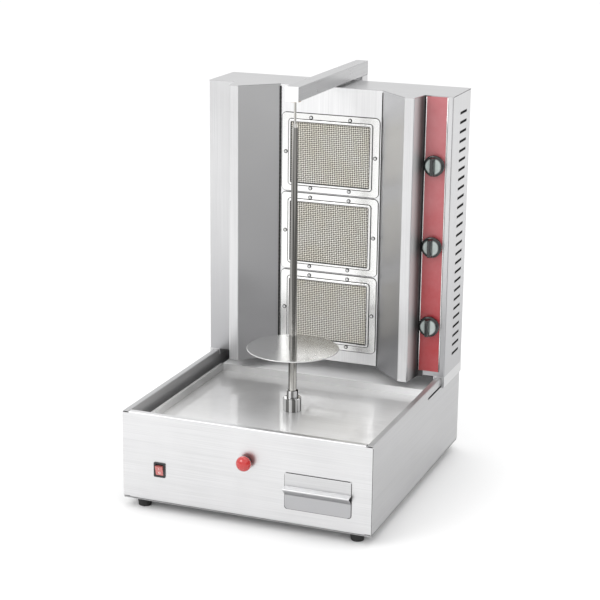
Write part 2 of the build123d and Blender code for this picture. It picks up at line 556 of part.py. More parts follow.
# ---- burner cabinet -----------------------------------------------------------------------------
def cabinet_sides():
    """Left side carries its own front strip; the right one is turned in beside the control panel."""
    rear = CAB_X - 17
    right = along_z(folded([(CAB_X - SIDE_FRONT_FLANGE, CAB_FRONT), (CAB_X, CAB_FRONT), (CAB_X, CAB_BACK),
                            (rear, CAB_BACK)]), CAB_Z, CABINET_TOP - SHEET)
    left = mirrored(along_z(folded([(SEAM_X, CAB_FRONT), (CAB_X, CAB_FRONT), (CAB_X, CAB_BACK),
                                    (rear, CAB_BACK)]), CAB_Z, CABINET_TOP - SHEET))
    middle = (CAB_FRONT + CAB_BACK) / 2 + LOUVRE_BACKSET
    slots = []
    for n in range(LOUVRE_N):
        z = CABINET_TOP - LOUVRE_HEAD - LOUVRE_PITCH * n
        slots.append(along_x(Pos(middle, z) * SlotOverall(LOUVRE_L, LOUVRE_H), CAB_X - 3, CAB_X + 1))
    return {"cabinet_side_right": right - slots, "cabinet_side_left": left - [mirrored(s) for s in slots]}


def plan_outline(back_y):
    """Outline of the cabinet from above, wings included."""
    right = [(CAB_X, back_y), (CAB_X, CAB_FRONT), (WING_X, CAB_FRONT), (RETURN_X, FLANGE_Y),
             (FLANGE_X, FLANGE_Y), (BAY_X, BAY_Y)]
    return make_face(Polyline(*right, *[(-x, y) for x, y in reversed(right)], close=True))


def cabinet_floor():
    sheet = along_z(offset(plan_outline(CAB_BACK), -SHEET, kind=Kind.INTERSECTION), CAB_Z, CAB_Z + SHEET)
    strip, bay = CAB_FRONT + SHEET, BAY_Y
    for x0, x1, front in ((-CAB_X, 5 - WING_X, strip), (-BAY_X - 15, BAY_X + 15, bay),
                          (WING_X - 5, CAB_X, strip)):
        sheet -= block(x0, x1, front - 3, front + SHEET, CAB_Z - 1, CAB_Z + 2 * SHEET)
    vents = [along_z(Pos(x, BAY_Y + 60) * SlotOverall(60, 6, rotation=90), CAB_Z - 1, CAB_Z + 3)
             for x in range(-90, 91, 20)]
    return sheet - corner_notches(CAB_Z - 1, CAB_Z + 2 * SHEET) - vents


def corner_notches(z0, z1):
    """Room in the floor for the side panels' rear flanges and rounded folds."""
    notch = block(CAB_X - 18, CAB_X, CAB_BACK - 2 * SHEET - FOLD, CAB_BACK + 1, z0, z1)
    return [notch, mirrored(notch)]


def cabinet_back():
    sheet = block(-CAB_X + 3, CAB_X - 3, CAB_BACK, CAB_BACK + SHEET, CAB_Z, CABINET_TOP - SHEET)
    sheet -= rod(INLET_R + 0.5, (KNOB_X, CAB_BACK - 1, INLET_Z), (KNOB_X, CAB_BACK + 3, INLET_Z))
    slots = []
    for z in BURNER_Z:
        for x in range(-100, 101, 20):
            slots.append(along_y(Pos(x, z) * SlotOverall(70, 6, rotation=90), CAB_BACK - 1, CAB_BACK + 3))
    for x, z in back_screw_places():
        slots.append(rod(2, (x, CAB_BACK - 1, z), (x, CAB_BACK + 3, z)))
    return sheet - slots


def back_screw_places():
    levels = [CAB_Z + 30 + n * (CABINET_TOP - CAB_Z - 60) / 3 for n in range(4)]
    return [(side * (CAB_X - 10), z) for side in (-1, 1) for z in levels]


def cabinet_top():
    sheet = along_z(plan_outline(CAB_BACK + SHEET), CABINET_TOP - SHEET, CABINET_TOP)
    return fillet(sheet.edges().filter_by(Axis.Z).group_by(Axis.Y)[-1], 3)


def right_front_panel():
    """Steel panel behind the red plate, with a hole for each valve spindle."""
    panel = block(WING_X + WING_TAB, CAB_X - SHEET - 3, CAB_FRONT + SHEET, CAB_FRONT + 2 * SHEET,
                  CAB_Z, CABINET_TOP - SHEET)
    for z in BURNER_Z:
        panel -= rod(SPINDLE_R + 2, (KNOB_X, CAB_FRONT, z), (KNOB_X, CAB_FRONT + 4, z))
    return panel


def control_plate():
    """Red plate let into the panel, round-cornered, with a spindle hole for each valve."""
    z0, z1 = CAB_Z + PLATE_END, CABINET_TOP - SHEET - 1
    plate = facing(Pos(KNOB_X, (z0 + z1) / 2) * RectangleRounded(PLATE_W, z1 - z0, 1.5),
                   CAB_FRONT + SHEET - PLATE_SEAT, PLATE_SEAT)
    for z in BURNER_Z:
        plate -= rod(SPINDLE_R + 2, (KNOB_X, CAB_FRONT - 1, z), (KNOB_X, CAB_FRONT + 4, z))
    return plate


def burner_panel():
    """Recessed panel between the wings, with an opening and screw holes for each burner."""
    panel = block(-BAY_X - 14, BAY_X + 14, BAY_Y, BAY_Y + SHEET, CAB_Z, CABINET_TOP - SHEET)
    for z in BURNER_Z:
        opening = Pos(0, z) * Rectangle(MESH_W + 2 * TILE_LAP + 4, MESH_H + 2 * TILE_LAP + 4)
        panel -= facing(opening, BAY_Y - 1, 4)
        for x, dz in burner_screw_places():
            panel -= rod(2, (x, BAY_Y - 1, z + dz), (x, BAY_Y + 3, z + dz))
    return panel


def wings():
    """Folded reflector either side of the burners: slanted face, narrow flange, return to the cabinet."""
    outline = [(BAY_X, BAY_Y), (FLANGE_X, FLANGE_Y), (RETURN_X, FLANGE_Y), (WING_X, CAB_FRONT + SHEET),
               (WING_X + WING_TAB, CAB_FRONT + SHEET)]
    right = along_z(folded(outline), CAB_Z - WING_DROP, CABINET_TOP - SHEET)
    right -= block(BAY_X - 5, BAY_X + 5, BAY_Y, BAY_Y + 5, CAB_Z - WING_DROP, CABINET_TOP)
    return {"wing_right": right, "wing_left": mirrored(right)}


def burner_screw_places():
    """Screw positions round one burner, from its middle."""
    x, z = (BURNER_W + MESH_W) / 4 + 1.5, (BURNER_H + MESH_H) / 4 + 1
    return [(-BURNER_W / 5, z), (BURNER_W / 5, z), (-BURNER_W / 5, -z), (BURNER_W / 5, -z), (-x, 0), (x, 0)]


def burner_frame(z):
    """Pressed frame that holds a tile: flat rim, raised bead round the window, screw holes."""
    flat = facing(Pos(0, z) * RectangleRounded(BURNER_W, BURNER_H, 9), BAY_Y - 1.5, 1.5)
    bead = facing(Pos(0, z) * RectangleRounded(MESH_W + 10, MESH_H + 10, 6), BAY_Y - 4, 4)
    bead = fillet(bead.edges().group_by(Axis.Y)[0], 1.8)
    frame = flat + bead - facing(Pos(0, z) * RectangleRounded(MESH_W, MESH_H, 2.5), BAY_Y - 5, 6)
    for x, dz in burner_screw_places():
        frame -= rod(2, (x, BAY_Y - 2, z + dz), (x, BAY_Y + 1, z + dz))
    return frame


def burner_tile(z):
    """Ceramic tile behind the window."""
    tile = Pos(0, z) * RectangleRounded(MESH_W + 2 * TILE_LAP, MESH_H + 2 * TILE_LAP, 2)
    return facing(tile, BAY_Y, TILE_T)


def burner_body(z):
    """Gas box behind a tile, with its flange, and the venturi tube that feeds it from the valve side."""
    wide, high = MESH_W / 2 + TILE_LAP, MESH_H / 2 + TILE_LAP
    wall = 1.5
    body = block(-wide - wall, wide + wall, BAY_Y, BAY_Y + BURNER_DEPTH, z - high - wall, z + high + wall)
    body += block(-wide - 12, wide + 12, BAY_Y + SHEET, BAY_Y + 2 * SHEET, z - high - 9, z + high + 9)
    body += rod(VENTURI_R + 2, (wide, VENTURI_Y, z), (VENTURI_X, VENTURI_Y, z))
    body += rod(VENTURI_R + 2, (VENTURI_X - 12, VENTURI_Y, z), (VENTURI_X, VENTURI_Y, z), VENTURI_R + 6)
    body -= block(-wide, wide, BAY_Y - 1, BAY_Y + TILE_T, z - high, z + high)
    body -= block(4 - wide, wide - 4, BAY_Y, BAY_Y + BURNER_DEPTH - wall, z - high + 4, z + high - 4)
    body -= rod(VENTURI_R, (wide - 8, VENTURI_Y, z), (VENTURI_X + 1, VENTURI_Y, z))
    for x, dz in burner_screw_places():
        body -= rod(2, (x, BAY_Y, z + dz), (x, BAY_Y + 5, z + dz))
    return body


def cabinet_screws():
    """Screws of the burner frames, the back panel and the cabinet's top."""
    made = [pan_head((x, BAY_Y - 1.5, z + dz), (0, 1, 0), 3.2, 2, 1.5 + SHEET)
            for z in BURNER_Z for x, dz in burner_screw_places()]
    made += [pan_head((x, CAB_BACK + SHEET, z), (0, -1, 0), 4, 2, SHEET) for x, z in back_screw_places()]
    return made


def slide_shoes():
    """Channels that straddle the base's rims, each with two pins in the rim's long slot."""
    inner, outer = WELL_X - GAP, SIDE_X + GAP
    web = block(inner - 3, CAB_X, CAB_FRONT, CAB_BACK, RIM_Z + GAP, CAB_Z)
    web += block(outer, CAB_X, CAB_FRONT, CAB_BACK, RIM_Z - 21, RIM_Z + GAP)
    web += block(inner - 3, inner, CAB_FRONT, CAB_BACK, RIM_Z - 10, RIM_Z + GAP)
    web = fillet(web.edges().filter_by(Axis.Y).group_by(Axis.X)[-1].sort_by(Axis.Z)[0], 2)
    for y in PIN_YS:
        web += rod(PIN_R, (outer - 5, y, PIN_Z), (outer + 1, y, PIN_Z))
    return [web, mirrored(web)]


def gas_rail():
    """Vertical gas pipe with a stub into each valve, a foot elbow, and a jet pipe from each valve."""
    rail = rod(RAIL_R, (KNOB_X, RAIL_Y, INLET_Z - RAIL_R), (KNOB_X, RAIL_Y, BURNER_Z[-1] + 25))
    for z in BURNER_Z:
        rail += rod(5, (KNOB_X, VALVE_Y + VALVE_D, z), (KNOB_X, RAIL_Y, z))
    rail += rod(RAIL_R - 1, (KNOB_X, RAIL_Y, INLET_Z), (KNOB_X, CAB_BACK - 12, INLET_Z))
    jets = [rod(JET_R, (KNOB_X - VALVE_W / 2, VENTURI_Y, z), (VENTURI_X - 4, VENTURI_Y, z))
            for z in BURNER_Z]
    return [rail] + jets


def gas_inlet():
    """Threaded inlet nipple through the back, with its lock nut."""
    outside, nut_t = CAB_BACK + SHEET, 4.0
    end = outside + nut_t + INLET_L
    nipple = rod(INLET_R, (KNOB_X, CAB_BACK - 12, INLET_Z), (KNOB_X, end, INLET_Z))
    nipple = chamfer(nipple.edges().sort_by(Axis.Y)[-1], 1)
    hexagon = Pos(KNOB_X, INLET_Z) * RegularPolygon(INLET_R + 6, 6)
    nipple += along_y(hexagon, outside, outside + nut_t) + along_y(hexagon, CAB_BACK - nut_t, CAB_BACK)
    return nipple - rod(INLET_R - 3, (KNOB_X, CAB_BACK - 6, INLET_Z), (KNOB_X, end + 1, INLET_Z))


def gas_valves():
    """Three brass valve bodies, each bored in front for its plug."""
    made = []
    for z in BURNER_Z:
        half = VALVE_W / 2
        body = block(KNOB_X - half, KNOB_X + half, VALVE_Y, VALVE_Y + VALVE_D, z - half, z + half)
        body = fillet(body.edges().filter_by(Axis.Y), 5)
        body += rod(half - 4, (KNOB_X, CAB_FRONT + 2 * SHEET, z), (KNOB_X, VALVE_Y, z))
        body -= rod(PLUG_R + RUN, (KNOB_X, CAB_FRONT, z), (KNOB_X, PLUG_Y1 + GAP, z))
        made.append(body)
    return made


def valve_plug(z):
    """Turning plug of one valve, with the socket that the knob's spindle slides in."""
    plug = rod(PLUG_R, (KNOB_X, PLUG_Y0, z), (KNOB_X, PLUG_Y1, z))
    plug -= rod(3, (KNOB_X - PLUG_R - 1, PLUG_Y1 - 7, z), (KNOB_X + PLUG_R + 1, PLUG_Y1 - 7, z))
    return plug - spindle(z, SPINDLE_R + RUN, PLUG_Y0 - 1, PLUG_Y0 + 14, SPINDLE_R * 0.6 + RUN)


def spindle(z, radius, y0, y1, flat):
    """D-shaped spindle, or its socket; flat is the distance from the axis to the flat."""
    round_bar = rod(radius, (KNOB_X, y0, z), (KNOB_X, y1, z))
    return round_bar - block(KNOB_X - radius, KNOB_X + radius, y0 - 1, y1 + 1, z + flat, z + radius + 1)


def knob(z):
    """Control knob: round skirt, a raised grip bar up and down its face, and its D spindle."""
    skirt = rod(KNOB_R, (KNOB_X, KNOB_Y, z), (KNOB_X, KNOB_Y - 9, z), KNOB_R - 1)
    skirt += rod(KNOB_R - 3, (KNOB_X, KNOB_Y - 9, z), (KNOB_X, KNOB_Y - 13, z), KNOB_R - 5)
    ends = []
    for y, wide, high in ((KNOB_Y - 8, 13, 2 * KNOB_R - 5), (KNOB_Y - KNOB_H, 9, 2 * KNOB_R - 10)):
        face = Plane(origin=(KNOB_X, y, z), x_dir=(1, 0, 0), z_dir=(0, -1, 0))
        ends.append(face * RectangleRounded(wide, high, wide / 2 - 0.3))
    grip = loft(ends)
    grip = fillet(grip.edges().group_by(Axis.Y)[0], 1.5)
    body = fillet(skirt.edges().group_by(Axis.Y)[-1], 0.8) + grip
    return body + spindle(z, SPINDLE_R, KNOB_Y - 2, PLUG_Y0 + 14 - KNOB_TRAVEL - 1, SPINDLE_R * 0.6)


def assembly():
    """Every node's name and its solid or solids."""
    nodes = {
        "base_bottom": base_bottom(), "base_front": base_front(), "base_back": base_back(),
        "feet": feet(), "drip_tray": drip_tray(), "rear_deck": rear_deck(),
        "drawer_guides": drawer_guides(), "motor_bracket": motor_bracket(), "gear_motor": gear_motor(),
        "shaft_bush": shaft_bush(), "rocker_housing": rocker_housing(), "rocker_key": rocker_key(),
        "button_collar": button_collar(), "contact_block": contact_block(), "button_head": button_head(),
        "drawer_pan": drawer_pan(), "drawer_front": drawer_front(), "terminal_block": terminal_block(),
        "cable_gland": cable_gland(), "base_screws": base_screws(), "post": post(),
        "post_brackets": post_brackets(), "arm": arm(), "arm_bush": arm_bush(),
        "spit_coupling": spit_coupling(), "spit_bar": spit_bar(), "meat_plate": meat_plate(),
        "cabinet_back": cabinet_back(), "cabinet_top": cabinet_top(), "cabinet_floor": cabinet_floor(),
        "right_front_panel": right_front_panel(), "control_plate": control_plate(),
        "burner_panel": burner_panel(), "cabinet_screws": cabinet_screws(), "slide_shoes": slide_shoes(),
        "gas_rail": gas_rail(), "gas_inlet": gas_inlet(), "gas_valves": gas_valves(),
    }
    nodes.update(base_sides())
    nodes.update(cabinet_sides())
    nodes.update(wings())
    for n, z in enumerate(BURNER_Z, start=1):
        nodes[f"burner_frame_{n}"] = burner_frame(z)
        nodes[f"burner_tile_{n}"] = burner_tile(z)
        nodes[f"burner_body_{n}"] = burner_body(z)
        nodes[f"valve_plug_{n}"] = valve_plug(z)
        nodes[f"knob_{n}"] = knob(z)
    return nodes


os.makedirs("parts", exist_ok=True)
for name, shape in assembly().items():
    solids = shape if isinstance(shape, list) else [shape]
    bodies = [solid for piece in solids for solid in piece.solids()]
    export_step(bodies[0] if len(bodies) == 1 else Compound(children=bodies), f"parts/{name}.step")
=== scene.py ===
# %% [markdown]
# # An upright gas broiler
# The real machine is folded stainless sheet: a base that holds a drip tray, and behind it a tall cabinet
# with three infrared burners between two slanted wings. A spit stands on a motor in the base, with a
# round plate for the meat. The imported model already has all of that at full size, so this lesson
# gives it its finishes, weaves the wire cloth of the burners, shapes the knobs, and lights the whole.

import bmesh
import bpy
import numpy as np
from math import cos, pi, radians, sin
from mathutils import Matrix, Vector


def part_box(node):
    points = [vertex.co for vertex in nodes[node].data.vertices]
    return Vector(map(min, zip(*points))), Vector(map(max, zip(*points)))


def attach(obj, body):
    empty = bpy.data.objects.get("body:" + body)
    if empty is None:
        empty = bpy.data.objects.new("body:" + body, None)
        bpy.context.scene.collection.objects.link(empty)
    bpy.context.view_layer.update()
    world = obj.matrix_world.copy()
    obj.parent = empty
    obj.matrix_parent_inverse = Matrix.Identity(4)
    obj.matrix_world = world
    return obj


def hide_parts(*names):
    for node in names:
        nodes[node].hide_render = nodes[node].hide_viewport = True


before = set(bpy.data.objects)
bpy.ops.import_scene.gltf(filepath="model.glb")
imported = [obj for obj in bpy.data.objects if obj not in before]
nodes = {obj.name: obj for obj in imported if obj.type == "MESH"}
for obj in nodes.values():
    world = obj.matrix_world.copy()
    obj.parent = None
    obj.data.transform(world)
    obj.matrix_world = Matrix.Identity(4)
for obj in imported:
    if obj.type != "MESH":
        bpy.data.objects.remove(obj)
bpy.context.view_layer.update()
BURNERS = (1, 2, 3)

# %% [markdown]
# ## A small language for finishes
# A finish is a tree of shader nodes. Placing nodes by hand is slow to read, so a socket is wrapped in a
# class whose + - * / add Math nodes: `1 - mask * 0.3` then says what the tree does. Everything that isn't
# arithmetic comes from one method, which takes the node's type, its settings and its sockets.


# %% The wire and the finish
class Wire:
    """One output of a shader node. Arithmetic on it adds Math nodes."""

    def __init__(self, finish, node, output=0):
        self.finish, self.node, self.socket = finish, node, node.outputs[output]

    def out(self, output):
        return Wire(self.finish, self.node, output)

    def math(self, operation, *others, clamp=False):
        return self.finish.math(operation, self, *others, clamp=clamp)

    def __add__(self, other):
        return self.math("ADD", other)

    def __radd__(self, other):
        return self.finish.math("ADD", other, self)

    def __sub__(self, other):
        return self.math("SUBTRACT", other)

    def __rsub__(self, other):
        return self.finish.math("SUBTRACT", other, self)

    def __mul__(self, other):
        return self.math("MULTIPLY", other)

    def __rmul__(self, other):
        return self.finish.math("MULTIPLY", other, self)

    def __truediv__(self, other):
        return self.math("DIVIDE", other)

    def __pow__(self, other):
        return self.math("POWER", other)


class Finish:
    """A material being made: node() adds any node, paint() closes it with one Principled shader."""

    def __init__(self, name):
        self.material = bpy.data.materials.new(name)
        self.material.use_nodes = True
        self.tree = self.material.node_tree
        self.tree.nodes.clear()
        self.place = self.node("ShaderNodeTexCoord").out("Object")

    def node(self, kind, settings=None, sockets=None):
        """Adds a node, sets its settings, then gives each socket a number, a colour or a wire."""
        made = self.tree.nodes.new(kind)
        for key, value in (settings or {}).items():
            setattr(made, key, value)
        for key, value in (sockets or {}).items():
            if isinstance(value, Wire):
                self.tree.links.new(value.socket, made.inputs[key])
            else:
                made.inputs[key].default_value = value
        return Wire(self, made) if made.outputs else made

    def math(self, operation, *values, clamp=False):
        settings = {"operation": operation, "use_clamp": clamp}
        return self.node("ShaderNodeMath", settings, dict(enumerate(values)))

    def noise(self, scale, detail=2.0, roughness=0.5):
        """Cloudy noise from 0 to 1. scale is a number, or one number for each axis, in cycles per metre."""
        scale = (scale,) * 3 if isinstance(scale, (int, float)) else scale
        where = self.node("ShaderNodeMapping", None, {"Vector": self.place, "Scale": scale})
        return self.node("ShaderNodeTexNoise", None,
                         {"Vector": where, "Scale": 1.0, "Detail": detail, "Roughness": roughness})

    def axes(self):
        """The place's three coordinates, in metres."""
        split = self.node("ShaderNodeSeparateXYZ", None, {0: self.place})
        return split, split.out(1), split.out(2)

    def band(self, value, low, high):
        """0 below low, 1 above high, smooth between them."""
        return self.node("ShaderNodeMapRange", {"interpolation_type": "SMOOTHSTEP"},
                         {"Value": value, "From Min": low, "From Max": high})

    def blend(self, factor, first, second):
        """Colour: first where factor is 0, second where it is 1."""
        mixed = self.node("ShaderNodeMix", {"data_type": "RGBA"}, {0: factor, 6: self.rgba(first),
                                                                   7: self.rgba(second)})
        return mixed.out(2)

    @staticmethod
    def rgba(color):
        return color if isinstance(color, Wire) else (*color, 1)

    def bump(self, height, depth):
        """Normal of a surface whose height goes from 0 to depth, in metres."""
        return self.node("ShaderNodeBump", None, {"Height": height, "Distance": depth, "Strength": 1.0})

    def paint(self, sockets):
        shader = self.node("ShaderNodeBsdfPrincipled", None, sockets)
        self.node("ShaderNodeOutputMaterial", None, {"Surface": shader})
        return self.material


print("Finish and Wire are ready")

# %% [markdown]
# ## Brushed stainless sheet
# Sheet for kitchens is rubbed in one direction with an abrasive belt. Up close that leaves hairlines, from
# further away long faint streaks, and over a whole panel slow clouds where the belt wore and hands have
# been. Noise that is stretched along one axis gives hairlines and streaks, plain noise the clouds. They
# change roughness and colour a little, and a very shallow swell makes the reflections waver, as thin
# sheet does between its folds.


# %% Brushed sheet
GRAIN = {"x": (5, 900, 900), "y": (900, 5, 900), "z": (900, 900, 5)}
STREAK = {"x": (1.5, 90, 90), "y": (90, 1.5, 90), "z": (90, 90, 1.5)}
SWELL, BELOW_MAX = 0.0003, 0.98


def brushed(name, along, tint, rough, shade=None, metal=1.0, film=0.0):
    """Steel rubbed along one axis. shade(steel) may give a mask, a colour painted there (a painted shade on
    most parts, a painted highlight on the arm's end), and how metallic it is there. film is how much of the
    sheet a clear film of fat covers.
    colour = tint darkened a little where hairlines and clouds meet;
    roughness = rough + 0.05 x streaks + 0.10 x clouds, less their means."""
    steel = Finish(name)
    hairs = steel.noise(GRAIN[along], 2, 0.6)
    streaks = steel.noise(STREAK[along], 3, 0.6)
    clouds = steel.noise(7.0, 3, 0.55)
    wear_and_shade = hairs * 0.5 + streaks * 0.2 + clouds * 0.3
    color = steel.blend(steel.band(wear_and_shade, 0.30, 0.70), shaded(tint, 0.90), shaded(tint, 1.07))
    if shade:
        mask, stain_and_shade, share = shade(steel)
        color = steel.blend(mask, color, stain_and_shade)
        metal = metal if share is None else share
    height = hairs * 0.015 + streaks * 0.01 + steel.noise(3.2, 1)
    return steel.paint({"Base Color": color, "Metallic": metal,
                        "Roughness": rough + (streaks - 0.5) * 0.05 + (clouds - 0.5) * 0.10,
                        "Coat Weight": film, "Coat Roughness": 0.07,
                        "Normal": steel.bump(height, SWELL)})


def shaded(color, share):
    """The colour times share, no channel over BELOW_MAX."""
    return tuple(min(channel * share, BELOW_MAX) for channel in color)


FLANGE_INSIDE, FLANGE_OUTSIDE, FOLD_DEPTH = 0.1838, 0.2040, 0.040


def wing_painted_shade(steel):
    """Wings: the slanted faces beside the burners get a painted shade, darkest low down, the flanges outside
    them stay bright, and the folds that turn back to the cabinet get a painted shade, near black deeper in,
    and are less metallic.
    Each mask compares the distance from the middle with where the flange starts and ends."""
    x, y, z = steel.axes()
    bottom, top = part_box("wing_left")
    aside = x.math("ABSOLUTE")
    inside = 1 - steel.band(aside, FLANGE_INSIDE - 0.0023, FLANGE_INSIDE)
    folded_back = steel.band(aside, FLANGE_OUTSIDE, FLANGE_OUTSIDE + 0.0008)
    low_down = 1 - steel.band(z, bottom.z, top.z)
    # Painted shade: grey on the slanted faces, darker low down, and near black deep in the folds.
    stain_and_shade = steel.blend(low_down, (0.70, 0.70, 0.705), (0.40, 0.40, 0.41))
    deep = steel.band(y, bottom.y + 0.004, bottom.y + FOLD_DEPTH)
    scorch_and_shade = steel.blend(deep, (0.50, 0.50, 0.50), (0.030, 0.028, 0.028))
    stain_and_shade = steel.blend(folded_back, stain_and_shade, scorch_and_shade)
    return (inside + folded_back) * 0.97, stain_and_shade, 1 - folded_back * 0.85


LOUVRE_PITCH, LOUVRE_HEAD, LOUVRE_BACKSET, LOUVRE_ROWS = 0.020, 0.042, 0.012, 26.3


def upright_painted_shade(steel):
    """Cabinet sides: a painted shade darkens them towards the foot, and a near-black painted shade fills the
    lips of the louvres.
    A louvre's lip = height folded by their even pitch under 3 mm, and depth within 24 mm of their middle."""
    x, y, z = steel.axes()
    low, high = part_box("cabinet_side_right")
    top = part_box("cabinet_top")[1].z - LOUVRE_HEAD
    rows = (((top - z) / LOUVRE_PITCH + 0.5).math("FRACT") - 0.5).math("ABSOLUTE") * LOUVRE_PITCH
    aside = (y - ((low.y + high.y) / 2 + LOUVRE_BACKSET)).math("ABSOLUTE")
    above = steel.band(z, top - LOUVRE_ROWS * LOUVRE_PITCH, top - (LOUVRE_ROWS - 0.1) * LOUVRE_PITCH)
    below = 1 - steel.band(z, top + 0.004, top + 0.005)
    within = above * below * steel.band(x.math("ABSOLUTE"), 0.268, 0.269)
    lip = (1 - steel.band(rows, 0.0027, 0.0036)) * (1 - steel.band(aside, 0.0236, 0.0246)) * within
    low_shade = 1 - steel.band(z, 0.16, 0.66)
    stain_and_shade = steel.blend(lip, (0.40, 0.40, 0.41), (0.008, 0.008, 0.008))
    return low_shade.math("MAXIMUM", lip), stain_and_shade, 1 - lip * 0.9


def arm_end_painted_light(steel):
    """Arm: its welded end gets a near-white painted highlight. mask = 1 within a millimetre of that end."""
    x, y, z = steel.axes()
    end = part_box("arm")[0].y
    return 1 - steel.band(y, end + 0.0008, end + 0.0014), (0.97, 0.97, 0.97), None


PULL_DROP = 0.034


def drawer_painted_shade(steel):
    """Drawer face: a painted shade darkens the part below the finger pull."""
    x, y, z = steel.axes()
    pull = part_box("drawer_front")[1].z - PULL_DROP
    return 1 - steel.band(z, pull - 0.010, pull + 0.002), (0.44, 0.44, 0.45), None


def tray_shade_and_smears(steel):
    """Tray: a painted shade darkens it round a spot behind and left of the spit, and smears dull it too.
    mask = the larger of (0.5 + 0.6 x smears, faded out from 8 to 36 cm of that spot) and 0.3 x the
    strongest smears."""
    x, y, z = steel.axes()
    reach = ((x + 0.14) ** 2.0 + (y - 0.02) ** 2.0).math("SQRT")
    smear = steel.noise((9, 9, 9), 4, 0.6)
    wear_and_shade = (1 - steel.band(reach, 0.08, 0.36)) * (0.50 + smear * 0.6)
    return wear_and_shade.math("MAXIMUM", steel.band(smear, 0.45, 0.75) * 0.3), (0.46, 0.458, 0.455), None


# One steel, tinted face by face to paint in the light each face gets: darkest on the sides, arm and top as
# painted shade, palest on the burner panel, tray and deck as painted light.
SHEETS = {
    "front": ("x", (0.68, 0.68, 0.685), 0.34, None, ["base_front", "base_back"]),
    "drawer": ("x", (0.60, 0.60, 0.605), 0.30, drawer_painted_shade, ["drawer_front", "drawer_pan"]),
    "side": ("y", (0.46, 0.46, 0.465), 0.34, None, ["base_side_left", "base_side_right", "base_bottom"]),
    "upright": ("z", (0.64, 0.64, 0.645), 0.32, upright_painted_shade,
                ["cabinet_side_left", "cabinet_side_right", "right_front_panel", "cabinet_back"]),
    "post": ("z", (0.60, 0.60, 0.605), 0.32, None, ["post", "post_brackets"]),
    "wing": ("z", (0.66, 0.66, 0.665), 0.34, wing_painted_shade, ["wing_left", "wing_right"]),
    "top": ("x", (0.54, 0.54, 0.545), 0.30, None, ["cabinet_top", "cabinet_floor"]),
    "arm": ("y", (0.50, 0.50, 0.505), 0.28, arm_end_painted_light, ["arm"]),
    "inner": ("y", (0.58, 0.58, 0.585), 0.34, None, ["slide_shoes", "drawer_guides"]),
    "tray": ("x", (0.98, 0.98, 0.98), 0.40, tray_shade_and_smears, ["drip_tray"]),
    "deck": ("x", (0.97, 0.97, 0.975), 0.38, None, ["rear_deck"]),
    "burner_panel": ("z", (0.80, 0.80, 0.805), 0.32, None, ["burner_panel"]),
}

# Fat leaves a thin clear film on the tray, and it mirrors the hub.
FILMED = {"tray": 0.8}
# Made partly matt, so that their tints paint in light and shade: the tray and deck near white, the sides
# dark.
PART_METAL = {"tray": 0.50, "deck": 0.15, "side": 0.70}


def dress(material, names):
    """The material goes into every slot of these nodes."""
    for name in names:
        nodes[name].data.materials.clear()
        nodes[name].data.materials.append(material)


for title, (along, tint, rough, shade, names) in SHEETS.items():
    metal, film = PART_METAL.get(title, 1.0), FILMED.get(title, 0.0)
    dress(brushed(f"brushed_{title}", along, tint, rough, shade, metal, film), names)
    print("brushed", title, "along", along, "on", len(names), "nodes")

# %% [markdown]
# ## Pressed, polished and turned steel
# The burner frames are pressed and buffed, so they are brighter than the casing, and the spit's bar is drawn
# and buffed. Its hub and the meat plate are turned on a lathe: the tool leaves fine rings round the axis.
# Distance from that axis, run through a sine, makes those rings, and buffing leaves only a trace of them.


# %% Buffed and turned steel
def upright_streaks(steel, color, run):
    """Upright dark streaks: noise stretched 80 times along z."""
    streaks = steel.noise((160, 160, 2), 2, 0.5)
    return steel.blend(steel.band(streaks, 0.44, 0.56) * run, color, (0.045, 0.043, 0.038))


def buffed(name, tint, rough, run=0.0):
    """Polished steel: an even mirror with faint smears. run is how dark the upright streaks are, 0 to 1."""
    steel = Finish(name)
    smears = steel.noise((40, 40, 12), 4, 0.6)
    height = steel.noise(60.0, 2)
    color = steel.blend(smears, shaded(tint, 0.9), tint)
    if run:
        color = upright_streaks(steel, color, run)
    return steel.paint({"Base Color": color, "Metallic": 1.0,
                        "Roughness": rough + (smears - 0.5) * 0.14,
                        "Normal": steel.bump(height, 0.00012)})


def turned(name, center, tint, rough, pitch, run=0.0):
    """Lathe-turned steel: rings round the upright line through center, pitch metres apart.
    rings = sine of (2 pi x distance from the line / pitch), from 0 to 1;
    height = 0.1 x rings + 0.9 x smears, and roughness rises a little with both."""
    steel = Finish(name)
    x, y, z = steel.axes()
    reach = ((x - center[0]) ** 2.0 + (y - center[1]) ** 2.0).math("SQRT")
    rings = (reach * (2 * pi / pitch)).math("SINE") * 0.5 + 0.5
    smears = steel.noise(28.0, 4, 0.6)
    color = steel.blend(smears * 0.7 + rings * 0.3, shaded(tint, 0.82), tint)
    if run:
        color = upright_streaks(steel, color, run)
    return steel.paint({"Base Color": color, "Metallic": 1.0,
                        "Roughness": rough + rings * 0.03 + (smears - 0.5) * 0.10,
                        "Normal": steel.bump(rings * 0.1 + smears * 0.9, 0.00005)})


low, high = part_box("spit_coupling")
spit_axis = ((low.x + high.x) / 2, (low.y + high.y) / 2)
edge_highlight_steel = buffed("edge_highlight_steel", (0.95, 0.95, 0.945), 0.24)
dress(buffed("buffed_frame", (0.86, 0.86, 0.85), 0.20), [f"burner_frame_{n}" for n in BURNERS])
dress(turned("turned_plate", spit_axis, (0.70, 0.70, 0.695), 0.20, 0.0011), ["meat_plate"])
dress(turned("turned_hub", spit_axis, (0.74, 0.74, 0.74), 0.08, 0.0009, run=0.85), ["spit_coupling"])
dress(buffed("drawn_bar", (0.62, 0.61, 0.58), 0.12, run=0.75), ["spit_bar"])
print("spit axis at", [round(c, 4) for c in spit_axis])

# %% [markdown]
# ## Plated, cast and non-ferrous pieces
# Behind the sheet are zinc-plated brackets and screws, a cast gear housing, brass valves, bronze bushes and
# a plain steel gas pipe. Each keeps its own trace: zinc has small crystals, a casting is grained, brass
# dulls unevenly and pipe carries mill scale.


